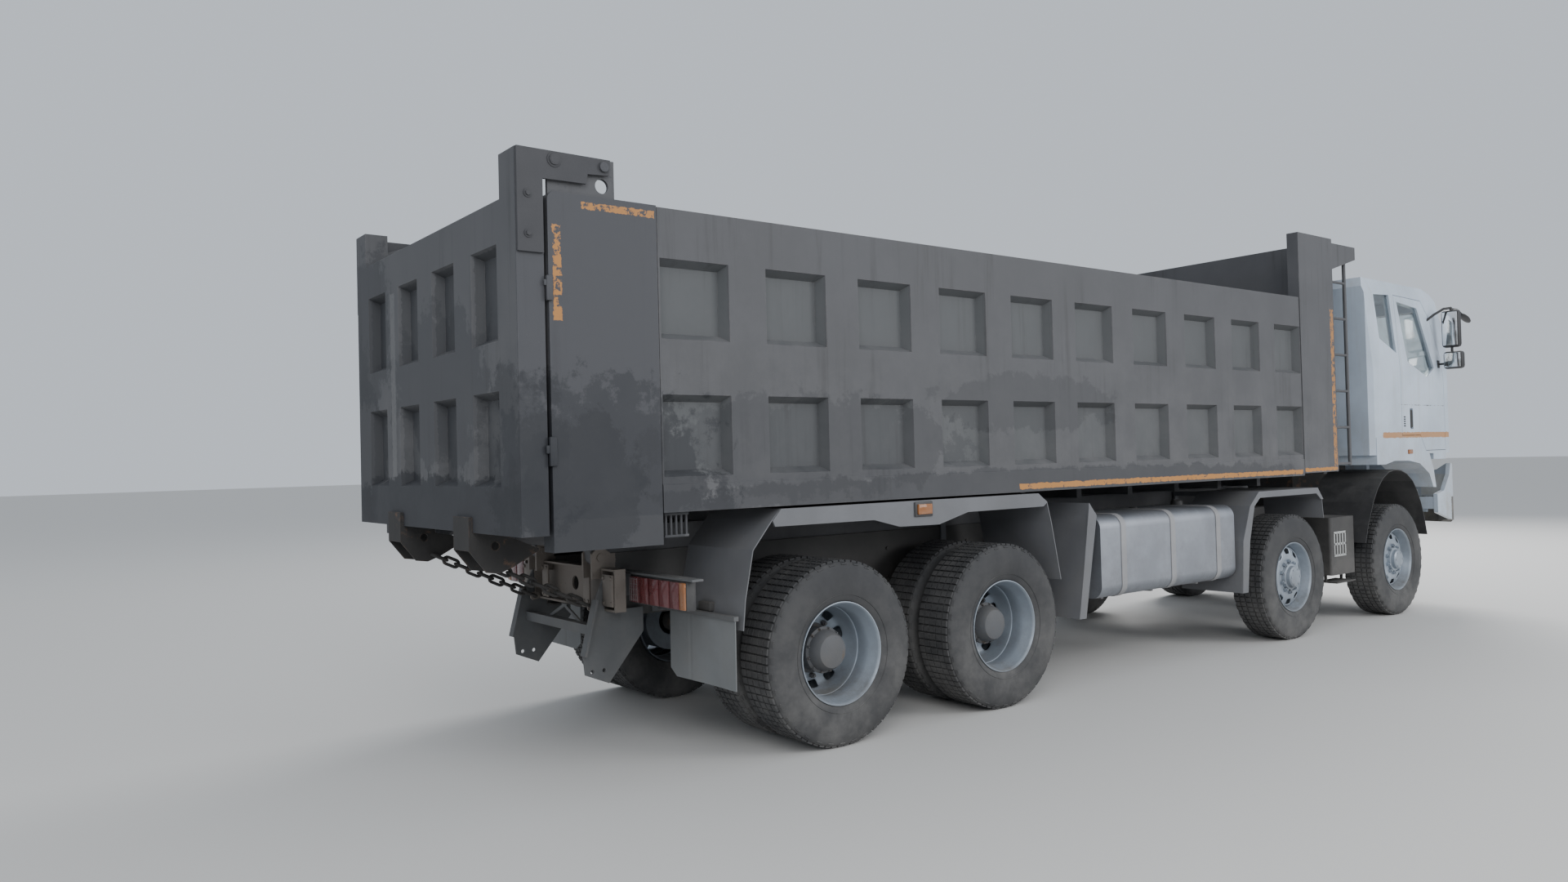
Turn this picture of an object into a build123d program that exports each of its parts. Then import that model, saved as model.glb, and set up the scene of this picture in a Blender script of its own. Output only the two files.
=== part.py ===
from build123d import *
import math
import os

# Four-axle dump truck, standing on its wheels. Lengths are millimetres, +X forward, +Y left, +Z up.
# Every X below is counted from the rearmost axle. The parts are written about the middle of the truck.

# Axles, wheels and tyres
AXLE_X = {"1": 7140, "2": 5140, "3": 1400, "4": 0}
TYRE_R = 538
TYRE_W = 315
TYRE_FLATS = 24
TREAD_W = 256
BULGE_R = 440
BEAD_W = 246
TWIN_GAP = 35
WHEEL_FACE = 1243
RIM_SEAT_R = 286
RIM_FLANGE_R = 300
RIM_FLATS = 20
RIM_LIP = 10
RIM_WALL = 22
HUB_R = 150
HUB_OUT = 95
HAND_HOLES = 10
HAND_HOLE_W = 46
WHEEL_Z = TYRE_R
TYRE_Y_OUT = WHEEL_FACE - TYRE_W / 2
TYRE_Y_IN = TYRE_Y_OUT - TYRE_W - TWIN_GAP
RIM_HALF = BEAD_W / 2 + 5

# Gaps between pieces that are fixed to each other, and that move past each other
SEAT = 0.3
MOVE_GAP = 6

# Chassis frame
RAIL_OUT = 430
RAIL_TOP = 1080
RAIL_DEPTH = 300
RAIL_FLANGE = 85
RAIL_WALL = 10
FRAME_REAR = -1060
FRAME_FRONT = 8290
CROSSMEMBER_X = [-700, 700, 2150, 3300, 4300, 5750]
CROSSMEMBER_W = 110
CROSSMEMBER_Z = (820, 1040)
SUBFRAME_H = 70
SUBFRAME_FRONT = 5900

# Tail of the chassis
TAIL_BEAM = (-1130, -1060)
TAIL_BEAM_HALF = 600
TAIL_BEAM_Z = (830, 1070)
TIP_X, TIP_Z = -1130, 1130
TIP_PIN_R = 22
TIP_LUG_R = 44
TIP_LUG_Y = (332, 408)
CHEEK_T = 20
UNDERRUN_Y = 462
UNDERRUN_HOLE_X = (-1215, -1140)
UNDERRUN_HOLE_Z = 495
UNDERRUN_HOLE_R = 12
PLATE_T = 12

# Load body
BODY_HALF = 1250
WALL_T = 110
WALL_RECESSED = 6
SIDE_TOP = 2975
SIDE_BOTTOM = 1408
SILL_TOP = 1555
FLOOR_TOP = 1432
FLOOR_T = 12
POST_REAR_X = (-1800, -1197)
POST_REAR_BOTTOM = 1247
POST_CORNER_R = 45
WALL_X = (-1196.7, 5334.7)
SEAM_W = 6
SEAM_DEPTH = 20
POST_FRONT_X = (5335, 5945)
POST_FRONT_Z = (1430, 3550)
POST_FRONT_T = 100
HEAD_X = (5865, 5925)
HEAD_TOP = 3400
HEAD_RIB = 50
WELL_HALF = 180
WELL_T = 10
WELL_TOP = 2060
WELL_SLOPE = 0.3433
CANOPY_FRONT = 6435
CANOPY_TOP = 3520
LADDER_X = 6260
LADDER_RUNGS = 6
LADDER_PITCH = 335
RECESS_FIRST = -1180
RECESS_PITCH = 675
RECESS_COUNT = 10
RECESS_W = 428
RECESS_ROWS = [(1590, 2013), (2300, 2715)]
RECESS_DEPTH = 62
RECESS_SLOPE = 34
BODY_BEAM_Y = TIP_LUG_Y
BODY_BEAM_BOTTOM = RAIL_TOP + SUBFRAME_H + SEAT
BEARER_Z = (1300, FLOOR_TOP - FLOOR_T)
BEARER_HALF = 570
BEARER_COUNT = 12

# Tailgate
GATE_REAR = -1960
GATE_T = 140
GATE_Z = (1330, 2955)
GATE_HALF = BODY_HALF - 5
GATE_POST_W = 185
GATE_POST_TOP = 3170
GATE_PIVOT_X, GATE_PIVOT_Z = -1500, 3128
GATE_RECESS_Y = [-850, -283, 283, 850]
GATE_RECESS_W = 330
GATE_RECESS_ROWS = [(1565, 2030), (2270, 2745)]
LOCK_Y = (424, 640)
LOCK_REAR = GATE_REAR - 20

# Chains between the tailgate's lock brackets and the tail beam
CHAIN_Y = 385
CHAIN_EYE = (-1165, 848)
CHAIN_END = (-1800, 1150)
LINK_WIRE = 15
LINK_W = 54
LINK_COUNT = 9
LINK_PLAY = 4
LINK_PITCH = math.dist(CHAIN_EYE, CHAIN_END) / LINK_COUNT
LINK_L = LINK_PITCH + 2 * LINK_WIRE + LINK_PLAY

# Front hoist
HOIST_X, HOIST_Z = 6330, 1000
HOIST_STAGES = [("hoist_barrel", 100), ("hoist_stage_1", 86), ("hoist_stage_2", 72),
                ("hoist_stage_3", 58), ("hoist_stage_4", 44)]
HOIST_FLATS = 16
HOIST_WALL = 8
HOIST_CLEARANCE = 1
HOIST_TUBE = 1720
HOIST_STEP = 16
HOIST_FOOT = 80
HOIST_HEAD = 136
HOIST_TOP = HOIST_Z + HOIST_FOOT + HOIST_TUBE + (len(HOIST_STAGES) - 1) * HOIST_STEP + HOIST_HEAD
HOIST_EYE_R = 45

# Front axles and steering
KINGPIN_Y = 880
KINGPIN_R = 22
EYE_HALF = 55
AXLE_BEAM_T = 90
LEAF_Y = (385, 475)
LEAF_HALF = 780
LEAF_RISE = 150
LEAF_STACK = 80
LEAF_TIP = 18
BOGIE_LEAF_Y = (445, 535)

# Fenders over the other wheels, and housings over the first axle's
FENDER_T = 6
FENDER_LIP = 12
REAR_FENDER_TOP = SIDE_BOTTOM - 21
ARCH_TOP = 1290
HOUSING_T = 6
HOUSING_IN = 640

# Engine and gearbox
GEARBOX_REAR = HOIST_X + 130
ENGINE_X = (6900, 8050)
ENGINE_Z = (700, 1450)

# Cab
CAB_REAR = 6670
CAB_FRONT = 8600
CAB_BOTTOM = 1560
CAB_TOP = 3285
CAB_HALF = 1240
CAB_WALL = 60
CAB_PANEL_BOTTOM = 1165
CAB_HINGE_X, CAB_HINGE_Z = 8360, 1020
CAB_HINGE_Y = (380, 420)
CAB_PIN_R = 16
DOOR_X = (7290, 8290)
DOOR_GAP = 5
HANDLE_X = (7475, 7545)
HANDLE_Z = (1810, 2015)
HANDLE_DEPTH = 24
MIRROR_X = 8195
WHEEL_R = 225
GLASS_T = 6
GLASS_INSET = 20
ARCH_PROUD = 6
GRILLE_HALF = 700
GRILLE_Z = (1235, 1690)
GRILLE_DEPTH = 30
GRILLE_BARS = 5
REAR_PANE = (480, 2500, 3000)
CAB_SIDE_Y = (CAB_HALF - 140, CAB_HALF + 20)
CAB_BELT = 2380
CAB_EAVES = 3130
CAB_SIDE_VIEW = [(CAB_REAR, CAB_BOTTOM), (CAB_REAR, 3190), (CAB_REAR + 70, CAB_TOP), (8060, CAB_TOP - 20),
                 (8190, 3215), (8245, 3165), (8320, 2976), (8445, 2750), (8545, 2500), (8590, 2250),
                 (CAB_FRONT, 1900), (CAB_FRONT, CAB_BOTTOM)]
WINDSCREEN = [(-1090, 2330), (1090, 2330), (1010, 3050), (-1010, 3050)]
WINDSCREEN_X = (8150, 8700)
QUARTER_WINDOW = [(6860, 3120), (7190, 3135), (7245, 2560), (6905, 2690)]
DOOR_WINDOW = [(7350, 3080), (7800, 3040), (8080, 2440), (7900, 2340), (7480, 2480)]
DOOR_OUTLINE = [(DOOR_X[0], 1745), (DOOR_X[0], 3145), (7900, 3125), (8060, 2960), (8250, 2560),
                (DOOR_X[1], 2300), (DOOR_X[1], 1590), (7820, 1590), (7700, 1745)]

# Bumper and lamps
BUMPER_REAR = 8510
BUMPER_FRONT = 8570
BUMPER_Z = (830, 1080)
BUMPER_CORNER_TOP = 1450
BUMPER_MIDDLE = 860
HEADLAMP_Z = (1115, 1335)

# Right and left side equipment
TANK_X = (2470, 4245)
TANK_Y = (560, 1200)
TANK_Z = (600, 1200)
TANK_R = 95
STRAP_X = [2740, 3370, 4000]
STRAP_W = 60
STRAP_T = 5
RESERVOIR_X = (2500, 2980)
RESERVOIR_YZ = [(720, 900), (1010, 900)]
RESERVOIR_L = 430
RESERVOIR_R = 132
BATTERY = (3500, 4150), (520, 1180), (640, 1080)
STEP_BOX = (5960, 6420), (-1150, -560), (470, 1000)
DUCT = (6470, 6630), (880, 1140), (1250, 3120)

# Whole truck
REAR_END = LOCK_REAR
FRONT_END = CAB_FRONT
MIDDLE_X = (REAR_END + FRONT_END) / 2


def write(node, *shapes):
    """Write one node, with all its solids, about the middle of the truck."""
    solids = [solid for shape in shapes for solid in shape.solids()]
    whole = solids[0] if len(solids) == 1 else Compound(solids)
    export_step(Pos(-MIDDLE_X, 0, 0) * whole, f"parts/{node}.step")


def block(x, y, z):
    """A box from three (low, high) pairs."""
    centre = [(low + high) / 2 for low, high in (x, y, z)]
    return Pos(*centre) * Box(x[1] - x[0], y[1] - y[0], z[1] - z[0])


def side_plate(points, y, corner=0):
    """A plate with its outline in the side view (x, z), between two widths y."""
    face = make_face(Polyline(*points, close=True))
    if corner:
        face = fillet(face.vertices(), corner)
    return Pos(0, y[1], 0) * extrude(Plane.XZ * face, amount=y[1] - y[0])


def end_plate(points, x):
    """A plate with its outline in the end view (y, z), between two stations x."""
    face = make_face(Polyline(*points, close=True))
    return Pos(x[0], 0, 0) * extrude(Plane.YZ * face, amount=x[1] - x[0])


def top_plate(points, z):
    """A plate with its outline in the plan view (x, y), between two heights z."""
    face = make_face(Polyline(*points, close=True))
    return Pos(0, 0, z[0]) * extrude(face, amount=z[1] - z[0])


def rod_x(x, y, z, radius):
    return Pos((x[0] + x[1]) / 2, y, z) * Rot(0, 90, 0) * Cylinder(radius, x[1] - x[0])


def rod_y(x, y, z, radius):
    return Pos(x, (y[0] + y[1]) / 2, z) * Rot(90, 0, 0) * Cylinder(radius, y[1] - y[0])


def rod_z(x, y, z, radius):
    return Pos(x, y, (z[0] + z[1]) / 2) * Cylinder(radius, z[1] - z[0])


def mirrored(shape):
    return mirror(shape, about=Plane.XZ)


def both(shape):
    """A piece of the left side with its twin on the right."""
    return [shape, mirrored(shape)]


def thick_line(points, thickness):
    """The outline of a bent sheet: the given line and the same line moved to its left by the thickness."""
    moved = []
    for i, (px, pz) in enumerate(points):
        before = points[max(i - 1, 0)]
        after = points[min(i + 1, len(points) - 1)]
        first = math.atan2(pz - before[1], px - before[0]) if i else None
        last = math.atan2(after[1] - pz, after[0] - px) if i < len(points) - 1 else first
        first = last if first is None else first
        middle = (first + last) / 2
        reach = thickness / math.cos((last - first) / 2)
        moved.append((px - reach * math.sin(middle), pz + reach * math.cos(middle)))
    return points + moved[::-1]


def skinned(rings):
    """A closed solid with flat faces through rings that have the same number of points."""
    faces = [make_face(Polyline(*ring, close=True)) for ring in (rings[0], rings[-1])]
    for low, high in zip(rings, rings[1:]):
        for i in range(len(low)):
            j = (i + 1) % len(low)
            faces.append(make_face(Polyline(low[i], low[j], high[j], high[i], close=True)))
    return Solid(Shell(faces))


def drum(sections, flats):
    """A turned form about the Y axis, drawn with flats: a list of (y, radius to a flat)."""
    turns = [2 * math.pi * (i + 0.5) / flats for i in range(flats)]
    rings = []
    for y, radius in sections:
        corner = radius / math.cos(math.pi / flats)
        rings.append([(corner * math.cos(turn), y, corner * math.sin(turn)) for turn in turns])
    return skinned(rings)


def tyre(y):
    """One tyre as a thick ring with bulged sides, open down to its beads."""
    half, tread, bead = TYRE_W / 2, TREAD_W / 2, BEAD_W / 2
    mouth = BULGE_R - 12
    outer = [(y - half, BULGE_R), (y - tread, TYRE_R), (y + tread, TYRE_R), (y + half, BULGE_R)]
    inner = [(y - half, mouth), (y - bead, RIM_SEAT_R), (y + bead, RIM_SEAT_R), (y + half, mouth)]
    return drum(outer, TYRE_FLATS) - drum(inner, TYRE_FLATS)


def hand_holes(y, radius):
    """The ring of holes in a wheel disc."""
    hole = block((radius - 13, radius + 13), y, (-HAND_HOLE_W / 2, HAND_HOLE_W / 2))
    return [Rot(0, 360 * (i + 0.5) / HAND_HOLES, 0) * hole for i in range(HAND_HOLES)]


def rim_barrel(y_low, y_high):
    """The rim under the tyre with its outer flange."""
    barrel_r = RIM_SEAT_R * math.cos(math.pi / RIM_FLATS) - SEAT
    barrel = drum([(y_low, barrel_r), (y_high, barrel_r)], RIM_FLATS)
    flange = drum([(y_high, RIM_FLANGE_R), (y_high + RIM_LIP, RIM_FLANGE_R)], RIM_FLATS)
    return barrel + flange, barrel_r


def front_wheel():
    """A single wheel with its disc near the outer face and a hub that stands out of it."""
    low, high = TYRE_Y_OUT - RIM_HALF, TYRE_Y_OUT + RIM_HALF
    rim, barrel_r = rim_barrel(low, high)
    well_r = barrel_r - RIM_WALL
    disc_y = TYRE_Y_OUT + 45
    rim = rim - drum([(disc_y, well_r), (high - 30, well_r), (high + RIM_LIP, barrel_r + 4)], RIM_FLATS)
    rim = rim - drum([(low, well_r), (disc_y - RIM_WALL, well_r)], RIM_FLATS)
    cone = drum([(disc_y - 1, well_r), (disc_y + 55, HUB_R + 10)], RIM_FLATS)
    hub = drum([(disc_y + 50, 110), (disc_y + 95, 105), (WHEEL_FACE - 3, 85)], RIM_FLATS)
    wheel = rim + cone + hub
    return wheel - hand_holes((disc_y - RIM_WALL - 5, disc_y + 60), (well_r + HUB_R) / 2 + 4)


def twin_wheel():
    """A pair of rims bolted back to back, with a deep outer dish and a large hub."""
    low, high = TYRE_Y_IN - RIM_HALF, TYRE_Y_OUT + RIM_HALF
    rim, barrel_r = rim_barrel(low, high)
    well_r = barrel_r - RIM_WALL
    disc_y = (TYRE_Y_IN + TYRE_Y_OUT) / 2 + 10
    rim = rim - drum([(disc_y, well_r - 20), (disc_y + 40, well_r), (high - 40, well_r),
                      (high + RIM_LIP, barrel_r + 4)], RIM_FLATS)
    rim = rim - drum([(low, well_r), (low + 60, well_r)], RIM_FLATS)
    hub = drum([(disc_y - 1, HUB_R + 15), (disc_y + 40, HUB_R), (WHEEL_FACE - HUB_OUT - 60, HUB_R - 12),
                (WHEEL_FACE - HUB_OUT, HUB_R - 45)], RIM_FLATS)
    wheel = rim + hub
    return wheel - hand_holes((disc_y - 30, disc_y + 1), well_r - 45)


def wheels():
    """Single wheels on the two steered axles and twin wheels on the two driven ones."""
    single_tyre = tyre(TYRE_Y_OUT)
    single_rim = front_wheel()
    twin_tyres = [single_tyre, tyre(TYRE_Y_IN)]
    twin_rim = twin_wheel()
    for axle, x in AXLE_X.items():
        steered = axle in ("1", "2")
        place = Pos(x, 0, WHEEL_Z)
        tyres = [single_tyre] if steered else twin_tyres
        rim = single_rim if steered else twin_rim
        write(f"tyre_{axle}_left", *[place * t for t in tyres])
        write(f"tyre_{axle}_right", *[place * mirrored(t) for t in tyres])
        write(f"wheel_{axle}_left", place * rim)
        write(f"wheel_{axle}_right", place * mirrored(rim))


def rail_channel(low, high, x):
    """A channel that opens inwards, with its web at the outer face of the frame."""
    inner, web = RAIL_OUT - RAIL_FLANGE, RAIL_OUT - RAIL_WALL
    section = [(inner, low), (RAIL_OUT, low), (RAIL_OUT, high), (inner, high), (inner, high - RAIL_WALL),
               (web, high - RAIL_WALL), (web, low + RAIL_WALL), (inner, low + RAIL_WALL)]
    return end_plate(section, x)


def frame_rail():
    """The left rail with its subframe, the hangers of the front springs and the bogie's bracket."""
    low = RAIL_TOP - RAIL_DEPTH
    rail = rail_channel(low, RAIL_TOP, (FRAME_REAR, FRAME_FRONT))
    rail = rail + rail_channel(RAIL_TOP, RAIL_TOP + SUBFRAME_H, (FRAME_REAR, SUBFRAME_FRONT))
    for axle in ("1", "2"):
        for end in (-1, 1):
            x = AXLE_X[axle] + end * (LEAF_HALF - 30)
            eye_top = WHEEL_Z + LEAF_RISE + LEAF_TIP + SEAT - 35
            rail = rail + block((x - 30, x + 30), LEAF_Y, (eye_top, low + 1))
    bogie_x = (AXLE_X["3"] + AXLE_X["4"]) / 2
    trunnion = [(bogie_x - 130, low + 1), (bogie_x + 130, low + 1), (bogie_x + 70, WHEEL_Z),
                (bogie_x - 70, WHEEL_Z)]
    return rail + side_plate(trunnion, (RAIL_OUT - 60, RAIL_OUT))


def frame_front():
    """The left half of the first crossmember with the cab's pivot and the bumper's carrier."""
    base = (FRAME_FRONT - 60, FRAME_FRONT)
    cheek = [(base[0], 940), (CAB_HINGE_X + 45, 975), (CAB_HINGE_X + 45, 1065), (base[0], RAIL_TOP)]
    inner = (CAB_HINGE_Y[0] - MOVE_GAP - PLATE_T, CAB_HINGE_Y[0] - MOVE_GAP)
    outer = (CAB_HINGE_Y[1] + MOVE_GAP, CAB_HINGE_Y[1] + MOVE_GAP + PLATE_T)
    front = side_plate(cheek, inner) + side_plate(cheek, outer)
    front = front + rod_y(CAB_HINGE_X, (inner[0], outer[1]), CAB_HINGE_Z, CAB_PIN_R)
    front = front + block(base, (0, outer[1]), (940, RAIL_TOP))
    front = front + block((base[0], BUMPER_REAR - SEAT), (560, 620), (930, 1010))
    return front + block(base, (0, 620), (930, 1010))


def frame_tail():
    """The left half of the tail beam with the cheeks of the tipping pivot and the chain's eye."""
    rear, front = TAIL_BEAM
    low, high = TAIL_BEAM_Z
    tail = block(TAIL_BEAM, (0, TAIL_BEAM_HALF), TAIL_BEAM_Z)
    hollow_z = (low + PLATE_T, high - PLATE_T)
    tail = tail - block((rear, front - PLATE_T), (0, TAIL_BEAM_HALF - PLATE_T), hollow_z)
    tail = tail + block(TAIL_BEAM, (CHAIN_Y + 60, CHAIN_Y + 60 + PLATE_T), TAIL_BEAM_Z)
    rail_y = (RAIL_OUT - RAIL_FLANGE, RAIL_OUT)
    tail = tail + block((front - 20, front + 1), rail_y, (high - 20, RAIL_TOP + 20))
    cheek = [(TIP_X - 52, high - 60), (front - 1, high - 60), (front - 1, TIP_Z + 20),
             (TIP_X + 25, TIP_Z + 50), (TIP_X - 25, TIP_Z + 50), (TIP_X - 52, TIP_Z + 22)]
    inner = (TIP_LUG_Y[0] - MOVE_GAP - CHEEK_T, TIP_LUG_Y[0] - MOVE_GAP)
    outer = (TIP_LUG_Y[1] + MOVE_GAP, TIP_LUG_Y[1] + MOVE_GAP + CHEEK_T)
    tail = tail + side_plate(cheek, inner) + side_plate(cheek, outer)
    tail = tail + rod_y(TIP_X, (inner[0] - 8, outer[1] + 8), TIP_Z, TIP_PIN_R)
    eye_x, eye_z = CHAIN_EYE
    eye = side_plate([(rear + 1, eye_z - 18), (rear + 1, eye_z + 18), (eye_x - 12, eye_z + 26),
                      (eye_x - 26, eye_z + 12), (eye_x - 26, eye_z - 12), (eye_x - 12, eye_z - 26)],
                     (CHAIN_Y - 5, CHAIN_Y + 5))
    return tail + eye - rod_y(eye_x, (CHAIN_Y - 6, CHAIN_Y + 6), eye_z, 14)


def crossmember(x, y):
    """A channel across the frame, open to the front."""
    rear, front = x - CROSSMEMBER_W / 2, x + CROSSMEMBER_W / 2
    low, high = CROSSMEMBER_Z
    section = [(rear, low), (front, low), (front, low + RAIL_WALL), (rear + RAIL_WALL, low + RAIL_WALL),
               (rear + RAIL_WALL, high - RAIL_WALL), (front, high - RAIL_WALL), (front, high), (rear, high)]
    return side_plate(section, y)


def hoist_seat(y):
    """The crossmember that carries the hoist's foot between two lugs."""
    x = (HOIST_X - 50, HOIST_X + 50)
    seat = block((HOIST_X - 90, HOIST_X + 90), y, (HOIST_Z - 120, HOIST_Z - 85))
    for lug in ((60, 85), (-85, -60)):
        seat = seat + block(x, lug, (HOIST_Z - 86, HOIST_Z + 30))
    return seat + rod_y(HOIST_X, (-95, 95), HOIST_Z, TIP_PIN_R)


def chassis_frame():
    """Two channel rails with crossmembers, spring hangers, subframe, tail beam and the cab's pivots."""
    half = frame_rail() + frame_front() + frame_tail()
    between = (-RAIL_OUT + RAIL_WALL - 1, RAIL_OUT - RAIL_WALL + 1)
    whole = half + mirrored(half)
    for x in CROSSMEMBER_X:
        whole = whole + crossmember(x, between)
    whole = whole + hoist_seat(between)
    write("chassis_frame", whole - rod_x(TAIL_BEAM, 0, 950, 42))


def rear_brackets():
    """Underrun plates with their bar, lamp carriers and flap hangers behind the rearmost wheels."""
    rear, low = TAIL_BEAM[0] - SEAT, TAIL_BEAM_Z[0] - SEAT
    outline = [(rear, 1021), (rear - 60, 900), (-1270, 590), (-1258, 480), (-1110, 417), (-880, 690),
               (-880, low), (rear, low)]
    plate = side_plate(outline, (UNDERRUN_Y, UNDERRUN_Y + PLATE_T))
    for x in UNDERRUN_HOLE_X:
        plate = plate - rod_y(x, (UNDERRUN_Y - 1, UNDERRUN_Y + PLATE_T + 1), UNDERRUN_HOLE_Z, UNDERRUN_HOLE_R)
    flange = side_plate(thick_line([(-1270, 590), (rear - 60, 900)], PLATE_T), (UNDERRUN_Y, UNDERRUN_Y + 60))
    plates = plate + flange
    bar = block((-1190, -1135), (-UNDERRUN_Y - 1, UNDERRUN_Y + 1), (690, 745))
    bar = bar - block((-1180, -1134), (-UNDERRUN_Y - 2, UNDERRUN_Y + 2), (700, 735))
    brace = end_plate([(-40, low), (10, low), (215, 744), (165, 744)], (-1150, -1138))
    underrun = plates + mirrored(plates) + bar + brace + mirrored(brace)
    foot = (RAIL_OUT + SEAT, RAIL_OUT + 15)
    lamp = block((-1010, -940), (foot[0], 1215), (1036, 1048)) + block((-1010, -940), foot, (900, 1048))
    hanger = block((-765, -735), (foot[0], 1235), (806, 830)) + block((-800, -700), foot, (790, 1000))
    write("rear_brackets", underrun, *both(lamp), *both(hanger))
    write("mudflaps", *both(mudflap(-750, 570, 1232, 430, 806 - SEAT)))


def mudflap(x, y_low, y_high, z_low, z_high):
    """A hanging sheet with a bevelled outer corner."""
    outline = [(y_low, z_low + 60), (y_low + 60, z_low + 20), (y_high - 30, z_low), (y_high, z_low + 30),
               (y_high, z_high), (y_low, z_high)]
    return end_plate(outline, (x - 6, x + 6))


def lamps():
    """Tail lamps under their carriers and side markers on the fenders."""
    tail = chamfer(block((-1020, -940), (550, 1150), (870, 1036 - SEAT)).edges().filter_by(Axis.X), 10)
    marker = block((572, 728), (BODY_HALF + SEAT, BODY_HALF + 26), (1292, 1388))
    write("lamps", *both(tail), *both(marker))


def fender_strip(line, y):
    """A bent sheet that follows a line in the side view."""
    return side_plate(thick_line(line, FENDER_T), y)


def fenders():
    """The long fender over the rear wheels, the arch over the second axle and the guard behind the tank."""
    rail_side = (RAIL_OUT + SEAT, RAIL_OUT + 15)
    lip_y = (BODY_HALF - FENDER_LIP, BODY_HALF)
    sheet_y = BODY_HALF - FENDER_LIP / 2
    top = REAR_FENDER_TOP
    line = [(-707, 751), (-690, 910), (-632, 1176), (-500, 1330), (-440, top), (1740, top), (1830, 1330),
            (1870, 1194), (1957, 795)]
    lip = [(-500, 1330), (-484, 1297), (249, 1294), (452, 1243), (789, 1238), (1050, 1302), (1790, 1303),
           (1830, 1330), (1740, top + FENDER_T), (-440, top + FENDER_T)]
    rear = fender_strip(line, (600, sheet_y)) + side_plate(lip, lip_y)
    stay = [(rail_side[0], 1010), (rail_side[1], 1010), (rail_side[1], 1250), (640, 1250), (640, top + 1),
            (612, top + 1), (612, 1288), (rail_side[0], 1288)]
    for x in (-300, 1650):
        rear = rear + end_plate(stay, (x - 25, x + 25))
    line = [(4262, 480), (4300, 900), (4420, 1180), (4560, ARCH_TOP), (5540, ARCH_TOP), (5620, 1200),
            (5645, 1023)]
    lip = [(4262, 480), (4345, 480), (4395, 900), (4480, 1180), (4570, ARCH_TOP - 45), (5520, ARCH_TOP - 45),
           (5600, 1190), (5640, 1190), (5545, ARCH_TOP + FENDER_T), (4555, ARCH_TOP + FENDER_T), (4410, 1182),
           (4292, 902)]
    middle = fender_strip(line, (700, sheet_y)) + side_plate(lip, lip_y)
    for x in (4620, 5480):
        middle = middle + block((x - 25, x + 25), (rail_side[0], 740), (ARCH_TOP - 40, ARCH_TOP + 1))
        middle = middle + block((x - 25, x + 25), rail_side, (1000, ARCH_TOP - 20))
    guard = fender_strip([(2200, 490), (2340, 1210), (2340, 1300)], (640, 1210))
    guard = guard + side_plate([(2200, 490), (2270, 490), (2420, 1210), (2340, 1300)], (1200, 1210))
    guard = guard + block((2280, 2330), (rail_side[0], 660), (975, 1015))
    write("fenders", *both(rear), *both(middle), mirrored(guard))


def wheel_housings():
    """Plastic housings over the first axle's wheels, wide enough for full steering lock."""
    line = [(6480, 740), (6540, 900), (6590, 990), (6660, 1110), (6760, 1240), (6870, 1330), (7000, 1390),
            (7140, 1410), (7270, 1400), (7400, 1360), (7520, 1290), (7620, 1180), (7700, 1050), (7760, 900),
            (7810, 740)]
    housing = side_plate(thick_line(line, HOUSING_T), (HOUSING_IN, CAB_HALF - 15))
    for x in (6515, 7745):
        housing = housing + block((x, x + 40), (RAIL_OUT + SEAT, HOUSING_IN + 1), (850, 890))
        housing = housing + block((x - 30, x + 70), (RAIL_OUT + SEAT, RAIL_OUT + 12), (800, 890))
    write("wheel_housings", *both(housing))


def rear_axles():
    """Two driven axles with banjo housings, the through drive and the propeller shaft."""
    end = TYRE_Y_IN - RIM_HALF + 60 - SEAT
    shapes = []
    for axle in ("3", "4"):
        x = AXLE_X[axle]
        tube = rod_y(x, (-end, end), WHEEL_Z, 68)
        banjo = rod_x((x - 120, x + 150), 0, WHEEL_Z, 190)
        head = block((x + 100, x + 330), (-95, 95), (WHEEL_Z + 20, WHEEL_Z + 240))
        saddle = block((x - 60, x + 60), BOGIE_LEAF_Y, (WHEEL_Z, 660 - SEAT))
        shapes.append(tube + banjo + head + saddle + mirrored(saddle))
    shaft_z = WHEEL_Z + 165
    through = rod_x((AXLE_X["4"] + 330 - 1, AXLE_X["3"] + 101), 0, shaft_z, 48)
    long_shaft = rod_x((AXLE_X["3"] + 329, GEARBOX_REAR - SEAT), 0, shaft_z, 48)
    whole = shapes[0] + shapes[1] + through + long_shaft
    write("drive_axles", whole)


def leaf_springs():
    """Leaf packs: one under each rail at both steered axles, and one on each side of the bogie."""
    packs = []
    for axle in ("1", "2"):
        stations = [(-LEAF_HALF, LEAF_TIP), (-400, 38), (-250, 56), (-70, LEAF_STACK), (70, LEAF_STACK),
                    (250, 56), (400, 38), (LEAF_HALF, LEAF_TIP)]
        base = WHEEL_Z - 35 + SEAT
        rises = [LEAF_RISE * (x / LEAF_HALF) ** 2 * (abs(x) > 80) for x, _ in stations]
        under = [(AXLE_X[axle] + x, base + rise) for (x, _), rise in zip(stations, rises)]
        over = [(x, z + stations[i][1]) for i, (x, z) in enumerate(under)]
        packs += both(side_plate(under + over[::-1], LEAF_Y))
    middle = (AXLE_X["3"] + AXLE_X["4"]) / 2
    reach = middle + 70
    low = [(middle - reach, 660), (middle - 560, 672), (middle - 110, 735), (middle + 110, 735),
           (middle + 560, 672), (middle + reach, 660)]
    high = [(middle + reach, 690), (middle + 420, 790), (middle + 200, 860), (middle - 200, 860),
            (middle - 420, 790), (middle - reach, 690)]
    pack = side_plate(low + high, BOGIE_LEAF_Y)
    shaft = rod_y(middle, (RAIL_OUT + SEAT, BOGIE_LEAF_Y[1]), WHEEL_Z + 70, 55)
    saddle = block((middle - 100, middle + 100), BOGIE_LEAF_Y, (WHEEL_Z + 70, 736))
    packs += both(pack + saddle + shaft)
    write("leaf_springs", *packs)


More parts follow.
